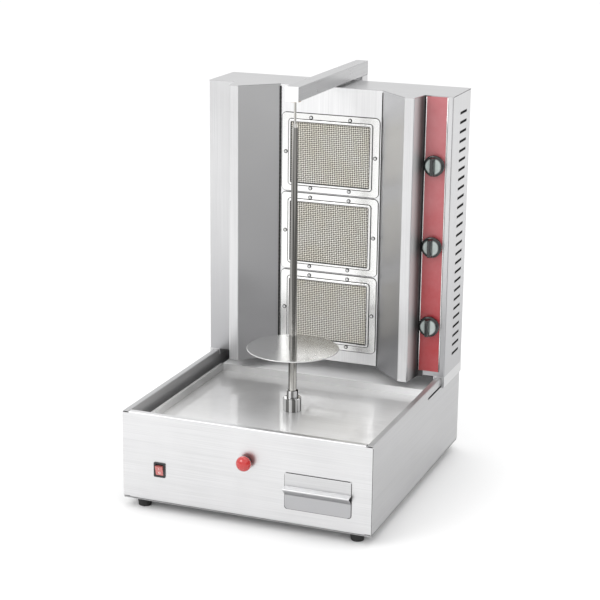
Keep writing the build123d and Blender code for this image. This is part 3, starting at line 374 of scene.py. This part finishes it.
# %% Metals inside
def grained(name, tint, other, scale, rough, depth, metallic=1.0, pattern="noise"):
    """Metal with grains or crystals: colour from tint to other, bumped by depth."""
    metal = Finish(name)
    if pattern == "crystals":
        grains = metal.node("ShaderNodeTexVoronoi", None, {"Vector": metal.place, "Scale": scale})
    else:
        grains = metal.noise(scale, 4, 0.65)
    soft = metal.noise(scale / 9, 3)
    mixed = metal.band(grains * 0.6 + soft * 0.4, 0.25, 0.75)
    return metal.paint({"Base Color": metal.blend(mixed, tint, other),
                        "Metallic": metallic, "Roughness": rough + (soft - 0.5) * 0.2,
                        "Normal": metal.bump(grains, depth)})


dress(grained("zinc_plate", (0.62, 0.63, 0.65), (0.72, 0.72, 0.70), 260, 0.34, 0.00002, pattern="crystals"),
      ["motor_bracket", "base_screws", "cabinet_screws"] + [f"burner_body_{n}" for n in BURNERS])
dress(grained("cast_housing", (0.40, 0.41, 0.43), (0.52, 0.53, 0.54), 700, 0.55, 0.00025), ["gear_motor"])
dress(grained("valve_brass", (0.72, 0.53, 0.24), (0.60, 0.42, 0.18), 120, 0.30, 0.00004),
      ["gas_valves", "gas_inlet"] + [f"valve_plug_{n}" for n in BURNERS])
dress(grained("sintered_bronze", (0.55, 0.36, 0.18), (0.42, 0.27, 0.13), 1500, 0.45, 0.00008),
      ["shaft_bush", "arm_bush"])
dress(grained("gas_pipe", (0.40, 0.40, 0.41), (0.26, 0.25, 0.25), 160, 0.48, 0.00006), ["gas_rail"])
print("inner metals done")

# %% [markdown]
# ## Plastics, rubber and enamel
# Moulded nylon is spark-eroded dull, the knobs and the start button are glossy phenolic and nylon, and the
# control plate is aluminium with a red stove enamel, made paler towards the top. Gloss parts get a clear
# coat, whose own roughness stays one number.


# %% Plastics and enamel
def moulded(name, tint, rough, coat=0.0, grain=0.00004, lift=1.35):
    """Moulded plastic or rubber: fine spark-eroded grain, faint handling marks."""
    stuff = Finish(name)
    fine = stuff.noise(1800, 2)
    marks = stuff.noise(45, 4, 0.6)
    light = tuple(min(channel * lift, 1.0) for channel in tint)
    return stuff.paint({"Base Color": stuff.blend(marks, tint, light), "Coat Weight": coat,
                        "Roughness": rough + (marks - 0.5) * 0.12,
                        "Coat Roughness": 0.05, "Normal": stuff.bump(fine, grain)})


nylon = moulded("black_nylon", (0.018, 0.018, 0.019), 0.46)
dress(nylon, ["rocker_housing", "button_collar", "contact_block", "cable_gland", "terminal_block"])
dress(moulded("foot_rubber", (0.016, 0.016, 0.016), 0.75, grain=0.0001), ["feet"])
dress(moulded("button_red", (0.44, 0.010, 0.009), 0.10, coat=1.0, grain=0.000004, lift=1.2), ["button_head"])
dress(moulded("rocker_red", (0.44, 0.13, 0.12), 0.26, coat=0.6, grain=0.00001, lift=1.3), ["rocker_key"])


def enamel():
    """Red stove enamel. colour goes from deep red at the foot to a washed red at the top;
    orange-peel bump, and a roughness that follows the same clouds as the colour."""
    plate = Finish("red_enamel")
    x, y, z = plate.axes()
    bottom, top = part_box("control_plate")
    paler_up = plate.band(z, bottom.z - 0.05, top.z + 0.10)
    cloud = plate.noise(24, 4, 0.6)
    color = plate.blend(paler_up * 0.85 + (cloud - 0.5) * 0.7 + 0.05, (0.40, 0.024, 0.030), (0.50, 0.175, 0.19))
    return plate.paint({"Base Color": color, "Roughness": 0.33 + (cloud - 0.5) * 0.12, "Coat Weight": 0.4,
                        "Coat Roughness": 0.18, "Normal": plate.bump(plate.noise(420, 2), 0.00003)})


dress(enamel(), ["control_plate"])
print("plastics and enamel done")

# %% [markdown]
# ## Surfaces from whole arrays
# New pieces are skins over rings of points. A ring is a closed loop of corners, and a tube is a row of
# rings, with a fan of triangles that closes each end. All rings of all tubes are one numpy array, so the
# faces are index arithmetic on the whole array.


# %% Skin over rings
def skin(name, rings, body, material, smooth=True):
    """A piece from rings, an array (tubes, rings, corners, xyz): quads join each ring to the next,
    and fans at the mean of the first and the last ring close each tube."""
    rings = np.asarray(rings, float)
    tubes, rows, corners, _ = rings.shape
    count = tubes * rows * corners
    index = np.arange(count).reshape(tubes, rows, corners)
    after = np.roll(index, -1, axis=2)
    quads = np.stack([index[:, :-1], after[:, :-1], after[:, 1:], index[:, 1:]], axis=-1).reshape(-1, 4)
    hubs = count + np.arange(2 * tubes).reshape(tubes, 2)
    first = np.stack([after[:, 0], index[:, 0], np.broadcast_to(hubs[:, :1], (tubes, corners))], axis=-1)
    last = np.stack([index[:, -1], after[:, -1], np.broadcast_to(hubs[:, 1:], (tubes, corners))], axis=-1)
    fans = np.concatenate([first.reshape(-1, 3), last.reshape(-1, 3)])
    centers = np.stack([rings[:, 0].mean(axis=1), rings[:, -1].mean(axis=1)], axis=1).reshape(-1, 3)
    points = np.concatenate([rings.reshape(-1, 3), centers])
    loops = np.concatenate([quads.ravel(), fans.ravel()])
    sizes = np.concatenate([np.full(len(quads), 4), np.full(len(fans), 3)])
    mesh = bpy.data.meshes.new(name)
    mesh.vertices.add(len(points))
    mesh.vertices.foreach_set("co", points.astype(np.float32).ravel())
    mesh.loops.add(len(loops))
    mesh.loops.foreach_set("vertex_index", loops.astype(np.int32))
    mesh.polygons.add(len(sizes))
    mesh.polygons.foreach_set("loop_start", (np.cumsum(sizes) - sizes).astype(np.int32))
    mesh.polygons.foreach_set("use_smooth", np.full(len(sizes), smooth))
    mesh.update(calc_edges=True)
    outwards(mesh)
    mesh.materials.append(material)
    piece = bpy.data.objects.new(name, mesh)
    bpy.context.scene.collection.objects.link(piece)
    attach(piece, body)
    print(name, "has", len(sizes), "faces")
    return piece


def outwards(mesh):
    """Turns every face of a closed mesh outwards."""
    work = bmesh.new()
    work.from_mesh(mesh)
    bmesh.ops.recalc_face_normals(work, faces=work.faces)
    work.to_mesh(mesh)
    work.free()


print("skin() is ready")

# %% [markdown]
# ## Wire cloth of the burners
# A gauze of heat-proof wire lies in front of each ceramic tile and glows with it. It is a plain weave: a
# wire passes over one neighbour and under the next, and the wire beside it does the opposite. A flat
# pattern of a weave would look dead when the light moves, so each wire is a real tube whose middle line
# swings forward and back by its own radius: offset = radius x cos(pi x distance / pitch + pi x number).

# %% Weave the gauze
WIRE_PITCH, WIRE_R, WIRE_SIDES, STEPS_PER_PITCH = 0.0041, 0.00092, 6, 4
GAUZE_SET_BACK = 0.0021
BORDER_X, BORDER_Z, WINDOW_LAP = 0.020, 0.018, 0.0006


def wires(across, length, start_across, start_along, back, sign):
    """Rings of parallel wires, as (across, depth, along) coordinates.
    across: how many wires; length: how long each is."""
    steps = int(round(length / WIRE_PITCH * STEPS_PER_PITCH)) + 1
    number = np.arange(across)[:, None, None]
    along = np.linspace(0, length, steps)[None, :, None]
    turn = (np.arange(WIRE_SIDES) * 2 * pi / WIRE_SIDES)[None, None, :]
    swing = sign * WIRE_R * np.cos(pi * along / WIRE_PITCH + pi * number)
    side = start_across + number * WIRE_PITCH + WIRE_R * np.cos(turn) + 0 * along
    depth = back + swing + WIRE_R * np.sin(turn)
    far = start_along + along + 0 * number + 0 * turn
    return side, depth, far


def burnt_wire():
    """Heat-proof wire. colour = near-white straw where the wire crests in front, its heat tint with a
    painted highlight, and a near-black painted shade where it dives behind: the mask is the depth, from 1.3
    wire radii before the cloth's middle to 0.5 behind it."""
    wire = Finish("burner_wire")
    x, y, z = wire.axes()
    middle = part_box("burner_tile_1")[0].y - GAUZE_SET_BACK
    scorch_and_shade, soot = wire.noise(16, 4, 0.6), wire.noise(300, 2)
    crest = wire.blend(wire.band(scorch_and_shade, 0.3, 0.7), (0.98, 0.96, 0.90), (0.94, 0.90, 0.80))
    dive = wire.band(y, middle - 1.3 * WIRE_R, middle + 0.5 * WIRE_R)
    return wire.paint({"Base Color": wire.blend(dive, crest, (0.10, 0.09, 0.07)), "Metallic": 0.35,
                       "Roughness": 0.36 + (soot - 0.5) * 0.2, "Normal": wire.bump(soot, 0.00005)})


gauze_wire = burnt_wire()

for n in BURNERS:
    frame_low, frame_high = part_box(f"burner_frame_{n}")
    x0, z0 = frame_low.x + BORDER_X - WINDOW_LAP, frame_low.z + BORDER_Z - WINDOW_LAP
    wide, tall = frame_high.x - BORDER_X + WINDOW_LAP - x0, frame_high.z - BORDER_Z + WINDOW_LAP - z0
    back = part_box(f"burner_tile_{n}")[0].y - GAUZE_SET_BACK
    columns, rows = int(wide / WIRE_PITCH) + 1, int(tall / WIRE_PITCH) + 1
    x, y, z = wires(columns, (rows - 1) * WIRE_PITCH, x0, z0, back, -1)
    upright = np.stack([x, y, z], axis=-1)
    z, y, x = wires(rows, (columns - 1) * WIRE_PITCH, z0, x0, back, 1)
    level = np.stack([x, y, z], axis=-1)
    skin(f"burner_gauze_{n}_upright", upright, "cabinet", gauze_wire)
    skin(f"burner_gauze_{n}_level", level, "cabinet", gauze_wire)

# %% [markdown]
# ## Painted shade round the burners
# Near-black cords round each frame, its bead and its window, and rings round its screws, paint the shade in
# those grooves and recesses; that dark line is what makes the frames readable on bright steel. A cord is
# a small circle swept round a rectangle with rounded corners.

# %% Lay the cords
CORD_R, CORNER_STEPS = 0.0012, 8
BEAD_IN_X, BEAD_IN_Z, SCREW_OUT, SCREW_UP = 0.030, 0.026, 0.1005, 0.076


def round_path(wide, tall, corner):
    """Points of a rectangle wide x tall about its middle, corners rounded, and the outward way at each.
    A quarter circle stands at each corner; outward = (cos, sin) of the angle along it."""
    angle = (np.arange(4)[:, None] * pi / 2 + np.linspace(0, pi / 2, CORNER_STEPS)[None, :]).ravel()
    reach_x, reach_z = wide / 2 - corner, tall / 2 - corner
    sign_x = np.repeat([1, -1, -1, 1], CORNER_STEPS)
    sign_z = np.repeat([1, 1, -1, -1], CORNER_STEPS)
    outward = np.stack([np.cos(angle), np.sin(angle)], axis=-1)
    return np.stack([sign_x * reach_x, sign_z * reach_z], axis=-1) + corner * outward, outward


def cord_rings(wide, tall, corner, middle, radius):
    """Rings of a cord of this radius round the path, in the plane y = middle's y."""
    path, outward = round_path(wide, tall, corner)
    path, outward = np.concatenate([path, path[:1]]), np.concatenate([outward, outward[:1]])
    turn = np.arange(10) * 2 * pi / 10
    out, deep = radius * np.cos(turn)[None, :], radius * np.sin(turn)[None, :]
    x = middle[0] + path[:, 0:1] + out * outward[:, 0:1]
    z = middle[2] + path[:, 1:2] + out * outward[:, 1:2]
    return np.stack([x, middle[1] + deep + 0 * x, z], axis=-1)


# Near-black cord that paints the shade in grooves and joint gaps.
shade_cord_black = moulded("painted_shade_cord", (0.018, 0.0175, 0.017), 0.8, grain=0.0001, lift=1.6)
for n in BURNERS:
    low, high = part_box(f"burner_frame_{n}")
    middle = np.array([(low.x + high.x) / 2, high.y - CORD_R * 0.2, (low.z + high.z) / 2])
    wide, tall = high.x - low.x, high.z - low.z
    bead_wide, bead_tall = wide - BEAD_IN_X, tall - BEAD_IN_Z
    outer = cord_rings(wide + 0.6 * CORD_R, tall + 0.6 * CORD_R, 0.0105, middle, CORD_R)
    foot = cord_rings(bead_wide + 0.0006, bead_tall + 0.0006, 0.0063, middle - [0, 0.0015, 0], 0.8 * CORD_R)
    inner = cord_rings(bead_wide - 0.0106, bead_tall - 0.0106, 0.0025, middle - [0, 0.0032, 0], 0.8 * CORD_R)
    skin(f"burner_shade_cord_{n}", np.stack([outer, foot, inner]), "cabinet", shade_cord_black)
    spots = [(-wide / 5, SCREW_UP), (wide / 5, SCREW_UP), (-wide / 5, -SCREW_UP), (wide / 5, -SCREW_UP),
             (-SCREW_OUT, 0), (SCREW_OUT, 0)]
    screw_shades = [cord_rings(0.0062, 0.0062, 0.0031, middle + [dx, -0.0020, dz], 0.0011) for dx, dz in spots]
    skin(f"burner_screw_shade_{n}", np.stack(screw_shades), "cabinet", shade_cord_black)

# %% [markdown]
# ## Painted shade in the joints, painted highlights on the red plate
# A dark rope in the joint between each wing and the burner panel, a thin cord round the drawer's face and
# rods along the cabinet's edges paint the shade in those gaps, and a black sheet behind the louvres paints
# the shade inside the cabinet. They give the bright sheet its drawn edges. The red plate is edged with
# bright rods instead, painted highlights.

# %% Shade cords, shade sheets and highlight rods
ROPE_SIDES, ROPE_RINGS, JOINT_SHADE_X = 10, 241, 0.1135


def rope_rings(x, y, bottom, top, radius):
    """Rings of an upright rope at (x, y) with a gentle twist-made bulge:
    radius x (1 + 0.08 sin(2 pi height / 9 mm))."""
    height = np.linspace(bottom, top, ROPE_RINGS)[:, None]
    turn = np.arange(ROPE_SIDES)[None, :] * 2 * pi / ROPE_SIDES
    wide = radius * (1 + 0.08 * np.sin(2 * pi * height / 0.009))
    return np.stack([x + wide * np.cos(turn), y + wide * np.sin(turn), height + 0 * turn], axis=-1)


bay_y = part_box("burner_frame_1")[1].y
wing_foot, wing_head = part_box("wing_left")
# A dark rope in each joint between a wing and the burner panel paints the shade in that gap.
for side, x, radius in (("left", -JOINT_SHADE_X, 0.0016), ("right", JOINT_SHADE_X, 0.0008)):
    rope = rope_rings(x, bay_y - radius, wing_foot.z + 0.004, wing_head.z - 0.004, radius)
    skin(f"wing_joint_shade_{side}", rope[None], "cabinet", shade_cord_black)

# A thin dark cord round the drawer's face paints the shade in the gap round it.
low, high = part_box("drawer_front")
middle = np.array([(low.x + high.x) / 2, high.y - 0.0006, (low.z + high.z) / 2])
lip = cord_rings(high.x - low.x + 0.0006, high.z - low.z + 0.0006, 0.0052, middle, 0.0006)
skin("drawer_gap_shade", lip[None], "drawer", shade_cord_black)


def sheet_rings(wide, tall, corner, x, y, z, thick):
    """A thin upright sheet facing sideways: the round path in y and z, once at each face."""
    path, _ = round_path(wide, tall, corner)
    faces = np.array([x, x + thick])[:, None]
    return np.stack([faces + 0 * path[None, :, 0], y + path[None, :, 0] + 0 * faces,
                     z + path[None, :, 1] + 0 * faces], axis=-1)


def rod_rings(start, end, radius, sides=12):
    """Rings of a straight rod from start to end: a circle square to the line at 9 even places."""
    start, end = np.array(start), np.array(end)
    way = (end - start) / np.linalg.norm(end - start)
    side = np.cross(way, [0.31, 0.17, 0.93])
    side /= np.linalg.norm(side)
    over = np.cross(way, side)
    turn = np.arange(sides)[None, :, None] * 2 * pi / sides
    place = start + np.linspace(0, 1, 9)[:, None, None] * (end - start)
    return place + radius * (np.cos(turn) * side + np.sin(turn) * over)


# Bright rods along the red plate's side edges are painted highlights on those edges.
plate_low, plate_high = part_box("control_plate")
glint_y, glint_in, glint_r = plate_low.y + 0.0004, 0.0006, 0.0013
edge_highlights = [rod_rings((x, glint_y, plate_low.z + 0.001), (x, glint_y, plate_high.z - 0.001), glint_r)
         for x in (plate_low.x + glint_in, plate_high.x - glint_in)]
skin("control_edge_highlights", np.stack(edge_highlights), "cabinet", edge_highlight_steel)

# Thin dark rods along the top's side edges and the base's right front corner paint the shade in those
# joints.
top_low, top_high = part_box("cabinet_top")
side_low, side_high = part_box("cabinet_side_right")
seam_y, seam_z, seam_in = (side_low.y + 0.002, side_high.y - 0.002), top_high.z - 0.0014, 0.0002
edges = [rod_rings((x, seam_y[0], seam_z), (x, seam_y[1], seam_z), 0.0006)
         for x in (top_low.x + seam_in, top_high.x - seam_in)]
front_low, front_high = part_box("base_front")
skin("cabinet_edge_shade", np.stack(edges), "cabinet", shade_cord_black)
corner = rod_rings((front_high.x - 0.0002, front_low.y + 0.0004, 0.024),
                   (front_high.x - 0.0002, front_low.y + 0.0004, front_high.z - 0.004), 0.0005)
skin("base_corner_shade", corner[None], "base", shade_cord_black)

# A black sheet inside each side paints the shade seen through the louvres.
louvre_shade_black = moulded("louvre_shade_black", (0.004, 0.004, 0.004), 0.9, grain=0.0002)
low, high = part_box("cabinet_side_right")
wide, tall = high.y - low.y - 0.050, high.z - low.z - 0.040
y, z = (low.y + high.y) / 2, (low.z + high.z) / 2
for side, face in (("right", high.x - 0.0032), ("left", -high.x + 0.0026)):
    rings = sheet_rings(wide, tall, 0.004, face, y, z, 0.0006)
    skin(f"louvre_shade_sheet_{side}", rings[None], "cabinet", louvre_shade_black, smooth=False)

# %% [markdown]
# ## Ceramic tiles
# Behind the gauze the gas burns in thousands of fine holes through a cordierite tile. The holes lie in two
# interleaved square grids. Distance to the nearest hole centre, compared with the hole's radius, gives a
# mask for the dark holes, and the same mask lowers the surface there.

# %% Perforated ceramic
HOLE_PITCH, HOLE_SHARE = 0.0026, 0.27


def perforated():
    """colour = pale ochre, with a painted shade inside the holes, where the distance to the nearest hole
    centre is under HOLE_SHARE pitches.
    The centres are those of a square grid and of the same grid moved by half a pitch."""
    tile = Finish("cordierite_tile")
    x, y, z = tile.axes()
    nearest = None
    for shift in (0.0, 0.5):
        dx = (x / HOLE_PITCH + shift).math("FRACT") - 0.5
        dz = (z / HOLE_PITCH + shift).math("FRACT") - 0.5
        reach = (dx * dx + dz * dz).math("SQRT")
        nearest = reach if nearest is None else nearest.math("MINIMUM", reach)
    solid = tile.band(nearest, HOLE_SHARE - 0.06, HOLE_SHARE + 0.06)
    stain_and_shade = tile.noise(22, 4, 0.6)
    clay = tile.blend(stain_and_shade, (0.20, 0.175, 0.13), (0.28, 0.25, 0.19))
    return tile.paint({"Base Color": tile.blend(solid, (0.02, 0.017, 0.014), clay), "Roughness": 0.85,
                       "Normal": tile.bump(solid, 0.0006)})


dress(perforated(), [f"burner_tile_{n}" for n in BURNERS])
print("tiles done")

# %% [markdown]
# ## Knobs
# A gas knob is moulded in one piece: a skirt that keeps fat off the spindle, and a grip bar across its
# face, with a scoop either side for finger and thumb. A lathe alone can't make the scoops, so the face is
# a height above the skirt that depends on both the distance from the axis and the distance from the bar.

# %% Sculpt a knob
KNOB_CORNERS, FACE_RINGS = 96, 22
BAR_HALF, BAR_FOOT, KNOB_GAP = 0.13, 0.24, 0.0037


def knob_finish():
    """Black phenolic, with a pale painted highlight in the scoops where finger and thumb sit: both sides of
    the bar, inside 0.82 of the radius. Distance from the nearest knob's axis = root of (dx squared + dz
    squared), where dz is folded by the even spacing of the three knobs."""
    stuff = Finish("knob_black")
    x, y, z = stuff.axes()
    places = [(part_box(f"knob_{n}")[0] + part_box(f"knob_{n}")[1]) / 2 for n in BURNERS]
    radius = (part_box("knob_1")[1].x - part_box("knob_1")[0].x) / 2
    spacing = abs(places[1].z - places[0].z)
    dx = x - places[0].x
    dz = (((z - places[0].z) / spacing + 0.5).math("FRACT") - 0.5) * spacing
    reach = (dx * dx + dz * dz).math("SQRT")
    beside = stuff.band(dx.math("ABSOLUTE"), (BAR_HALF + 0.05) * radius, (BAR_FOOT + 0.06) * radius)
    front = 1 - stuff.band(y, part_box("knob_1")[0].y + 0.0175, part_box("knob_1")[0].y + 0.0195)
    scoop = beside * (1 - stuff.band(reach, 0.66 * radius, 0.82 * radius)) * front
    highlight_mottle = stuff.noise(60, 4, 0.6)
    color = stuff.blend(scoop * (0.70 + highlight_mottle * 0.5), (0.006, 0.008, 0.008), (0.50, 0.56, 0.54))
    return stuff.paint({"Base Color": color, "Roughness": 0.16 + scoop * 0.14 + (highlight_mottle - 0.5) * 0.1,
                        "Coat Weight": 0.5 - scoop * 0.2, "Coat Roughness": 0.05,
                        "Normal": stuff.bump(stuff.noise(1800, 2), 0.000006)})


knob_black = knob_finish()


def smooth(value, low, high):
    """0 at low, 1 at high, with level ends."""
    t = np.clip((value - low) / (high - low), 0, 1)
    return t * t * (3 - 2 * t)


def knob_rings(radius, height, back):
    """Rings of a knob about its own axis, as (across, depth, up), from the middle of its back to the
    middle of its face. The face's height = scoop floor + (bar height) x bar, where bar falls from 1 to 0
    between BAR_HALF and BAR_FOOT radii beside the middle, and the scoop floor dips half way out."""
    turn = np.arange(KNOB_CORNERS) * 2 * pi / KNOB_CORNERS
    skirt_top, lip, body = 0.30 * height, 0.035 * radius, 0.86 * radius
    outline = [(0.0, back), (0.93 * radius, back), (0.985 * radius, back), (radius, back + 0.05 * height),
               (radius, skirt_top - lip), (0.985 * radius, skirt_top - 0.3 * lip),
               (0.955 * radius, skirt_top), (body + 0.5 * lip, skirt_top), (body, skirt_top + lip)]
    reach = np.array([r for r, _ in outline] + list(body * np.linspace(1, 0.02, FACE_RINGS)))
    across, up = reach[:, None] * np.cos(turn), reach[:, None] * np.sin(turn)
    beside, ends = np.abs(across) / radius, reach[:, None] / body
    bar = 1 - smooth(beside, BAR_HALF, BAR_FOOT)
    floor = 0.58 - 0.20 * np.sin(pi * np.clip((beside - 0.15) / 0.85, 0, 1))
    face = height * (floor + (1 - floor) * bar) * (1 - 0.10 * smooth(ends, 0.80, 1.0) ** 2)
    face -= height * 0.07 * smooth(ends, 0.93, 1.0)
    rim = len(outline)
    depth = np.repeat(np.array([d for _, d in outline] + [0.0] * FACE_RINGS)[:, None], KNOB_CORNERS, axis=1)
    depth[rim:] = face[rim:]
    return np.stack([across, -depth, up], axis=-1)


def spindle_rings(radius, length):
    """A D-shaped rod along +depth: a circle whose top is cut at six tenths of its radius."""
    turn = np.arange(32) * 2 * pi / 32
    across, up = radius * np.cos(turn), np.minimum(radius * np.sin(turn), 0.6 * radius)
    ends = np.array([-0.002, 0.0, length])[:, None]
    return np.stack([across + 0 * ends, ends + 0 * turn, up + 0 * ends], axis=-1)


for n in BURNERS:
    low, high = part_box(f"knob_{n}")
    radius = (high.x - low.x) / 2
    middle = np.array([(low.x + high.x) / 2, 0, (low.z + high.z) / 2])
    plate_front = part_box("control_plate")[0].y
    seat = plate_front - KNOB_GAP
    rings = knob_rings(radius, seat - low.y, 0.0) + middle + [0, seat, 0]
    knob = skin(f"gas_knob_{n}", rings[None], f"knob_{n}", knob_black)
    rod = spindle_rings(0.003, high.y - seat) + middle + [0, seat, 0]
    skin(f"gas_knob_spindle_{n}", rod[None], f"knob_{n}", knob_black, smooth=False)
    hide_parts(f"knob_{n}")

# %% [markdown]
# ## Marks on the mains rocker
# The lens of a rocker carries a bar for on and a ring for off, filled with white paint. They lie on slanted
# faces, so a ray shot at the key finds the point and the slope, and the marks are laid on it.

# %% I and O
MARK_R, MARK_LENGTH, RING_R = 0.00038, 0.0044, 0.0020
paint = Finish("white_mark")
speck = paint.noise(900, 2)
mark_white = paint.paint({"Base Color": paint.blend(speck, (0.80, 0.78, 0.76), (0.90, 0.89, 0.88)),
                          "Roughness": 0.45 + (speck - 0.5) * 0.2})


def on_key(share):
    """Point on the key's face at a share of its height, and the face's own upward way there."""
    low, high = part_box("rocker_key")
    start = Vector(((low.x + high.x) / 2, low.y - 0.02, low.z + share * (high.z - low.z)))
    _, point, normal, _ = nodes["rocker_key"].ray_cast(start, Vector((0, 1, 0)))
    rise = Vector((1, 0, 0)).cross(normal).normalized()
    rise = rise if rise.z > 0 else -rise
    return np.array(point), np.array(rise)


def bar_mark():
    """Upright bar: a round rod laid half into the face, with rounded ends."""
    point, rise = on_key(0.72)
    s = np.linspace(-1, 1, 9)
    thick = MARK_R * np.sqrt(np.clip(1.02 - np.abs(s) ** 8, 0.02, 1))
    turn = np.arange(12) * 2 * pi / 12
    side, out = np.array([1.0, 0, 0]), np.cross([1.0, 0, 0], rise)
    round_it = np.cos(turn)[None, :, None] * side + np.sin(turn)[None, :, None] * out
    line = point + s[:, None] * (MARK_LENGTH / 2) * rise
    return line[:, None] + thick[:, None, None] * round_it


def ring_mark():
    """Ring: a thin rod bent into a circle on the face."""
    point, rise = on_key(0.28)
    around = np.linspace(0, 2 * pi, 33)
    turn = np.arange(8) * 2 * pi / 8
    side, out = np.array([1.0, 0, 0]), np.cross([1.0, 0, 0], rise)
    spoke = np.cos(around)[:, None] * side + np.sin(around)[:, None] * rise
    line = point + RING_R * spoke
    wall = MARK_R * (np.cos(turn)[None, :, None] * spoke[:, None] + np.sin(turn)[None, :, None] * out)
    return line[:, None] + wall


skin("rocker_mark_on", bar_mark()[None], "mains_switch", mark_white)
skin("rocker_mark_off", ring_mark()[None], "mains_switch", mark_white)

# %% [markdown]
# ## Floor and flag
# Polished steel shows its surroundings, so the surroundings are the lighting: a pale floor that the front
# mirrors, a bright sky that dims towards the horizon, and two soft boxes. Panels that mirror nothing but
# white look like paper. A grey flag at the right, which only mirrors see, gives them something darker.

# %% Floor and flag
FLOOR_HALF = 60.0


def flat(name, corners, material, camera=True, shadow=True):
    """A four-cornered sheet that belongs to the studio."""
    mesh = bpy.data.meshes.new(name)
    mesh.from_pydata(corners, [], [range(len(corners))])
    mesh.materials.append(material)
    sheet = bpy.data.objects.new(name, mesh)
    bpy.context.scene.collection.objects.link(sheet)
    sheet.visible_camera = sheet.visible_diffuse = camera
    sheet.visible_shadow = shadow
    return sheet


ground = Finish("studio_floor")
patch = ground.noise(1.5, 2)
floor_white = ground.paint({"Base Color": ground.blend(patch, (0.90, 0.90, 0.90), (0.92, 0.92, 0.92)),
                            "Roughness": 0.7})
F = FLOOR_HALF
flat("floor", [(-F, -F, 0), (F, -F, 0), (F, F, 0), (-F, F, 0)], floor_white)


def glow(name, color, strength):
    """A card that only shines."""
    card = Finish(name)
    card.node("ShaderNodeOutputMaterial", None, {"Surface": card.node(
        "ShaderNodeEmission", None, {"Color": (*color, 1), "Strength": strength})})
    return card.material


flag_grey = glow("flag_grey", (1, 1, 1), 0.45)
flat("flag_right", [(1.05, -1.5, 0.0), (1.05, 0.25, 0.0), (1.05, 0.25, 0.75), (1.05, -1.5, 0.75)],
     flag_grey, camera=False, shadow=False)
print("floor", 2 * FLOOR_HALF, "m wide, and one grey flag")

# %% [markdown]
# ## Sky and soft boxes
# The sky is one ramp over the upward part of each direction: 0.70 at the horizon and full from 0.4 up. Two
# large soft boxes are weak beside it, so the shadows stay faint.

# %% Sky and soft boxes
world = bpy.data.worlds.new("studio")
bpy.context.scene.world = world
world.use_nodes = True
sky = world.node_tree
sky.nodes.clear()
direction = sky.nodes.new("ShaderNodeTexCoord")
split = sky.nodes.new("ShaderNodeSeparateXYZ")
ramp = sky.nodes.new("ShaderNodeValToRGB")
shine = sky.nodes.new("ShaderNodeBackground")
target = sky.nodes.new("ShaderNodeOutputWorld")
ramp.color_ramp.elements[0].position, ramp.color_ramp.elements[0].color = 0.0, (0.70, 0.70, 0.705, 1)
ramp.color_ramp.elements[1].position, ramp.color_ramp.elements[1].color = 0.4, (1.0, 1.0, 1.0, 1)
sky.links.new(direction.outputs["Generated"], split.inputs[0])
sky.links.new(split.outputs[2], ramp.inputs[0])
sky.links.new(ramp.outputs[0], shine.inputs["Color"])
shine.inputs["Strength"].default_value = 1.16
sky.links.new(shine.outputs[0], target.inputs[0])


def soft_box(name, place, aim, size, watts):
    """Square area light at place, turned to aim."""
    light = bpy.data.lights.new(name, "AREA")
    light.shape, light.size, light.energy = "SQUARE", size, watts
    lamp = bpy.data.objects.new(name, light)
    bpy.context.scene.collection.objects.link(lamp)
    lamp.location = place
    lamp.rotation_euler = (Vector(aim) - Vector(place)).to_track_quat("-Z", "Y").to_euler()
    return lamp


soft_box("key", (-1.6, -2.6, 2.3), (0, -0.3, 0.2), 1.8, 30)
soft_box("top", (0.3, 0.3, 3.0), (0, 0, 0.3), 2.2, 12)
print("lights done")

# %% [markdown]
# ## Camera
# A long lens from a little above, 21 degrees round from the front, so that the right side shows too. It's
# built from three directions: back, right and up, with the last two rolled a little.

# %% Camera
LENS, SENSOR = 102.445, 36.0
AZIMUTH, ELEVATION, ROLL = radians(21.12), radians(15.85), radians(0.64)
DISTANCE, AIM = 3.488, Vector((0.0157, -0.05447, 0.400))
back_way = Vector((sin(AZIMUTH) * cos(ELEVATION), -cos(AZIMUTH) * cos(ELEVATION), sin(ELEVATION)))
right_way = Vector((cos(AZIMUTH), sin(AZIMUTH), 0))
up_way = back_way.cross(right_way)
turned_right = right_way * cos(ROLL) + up_way * sin(ROLL)
turned_up = up_way * cos(ROLL) - right_way * sin(ROLL)
camera = bpy.data.objects.new("camera", bpy.data.cameras.new("camera"))
bpy.context.scene.collection.objects.link(camera)
camera.data.lens, camera.data.sensor_width = LENS, SENSOR
turn = Matrix((turned_right, turned_up, back_way)).transposed().to_4x4()
camera.matrix_world = Matrix.Translation(AIM + back_way * DISTANCE) @ turn
bpy.context.scene.camera = camera
bpy.context.scene.view_settings.view_transform = "Standard"
print("camera at", [round(c, 3) for c in camera.matrix_world.translation])
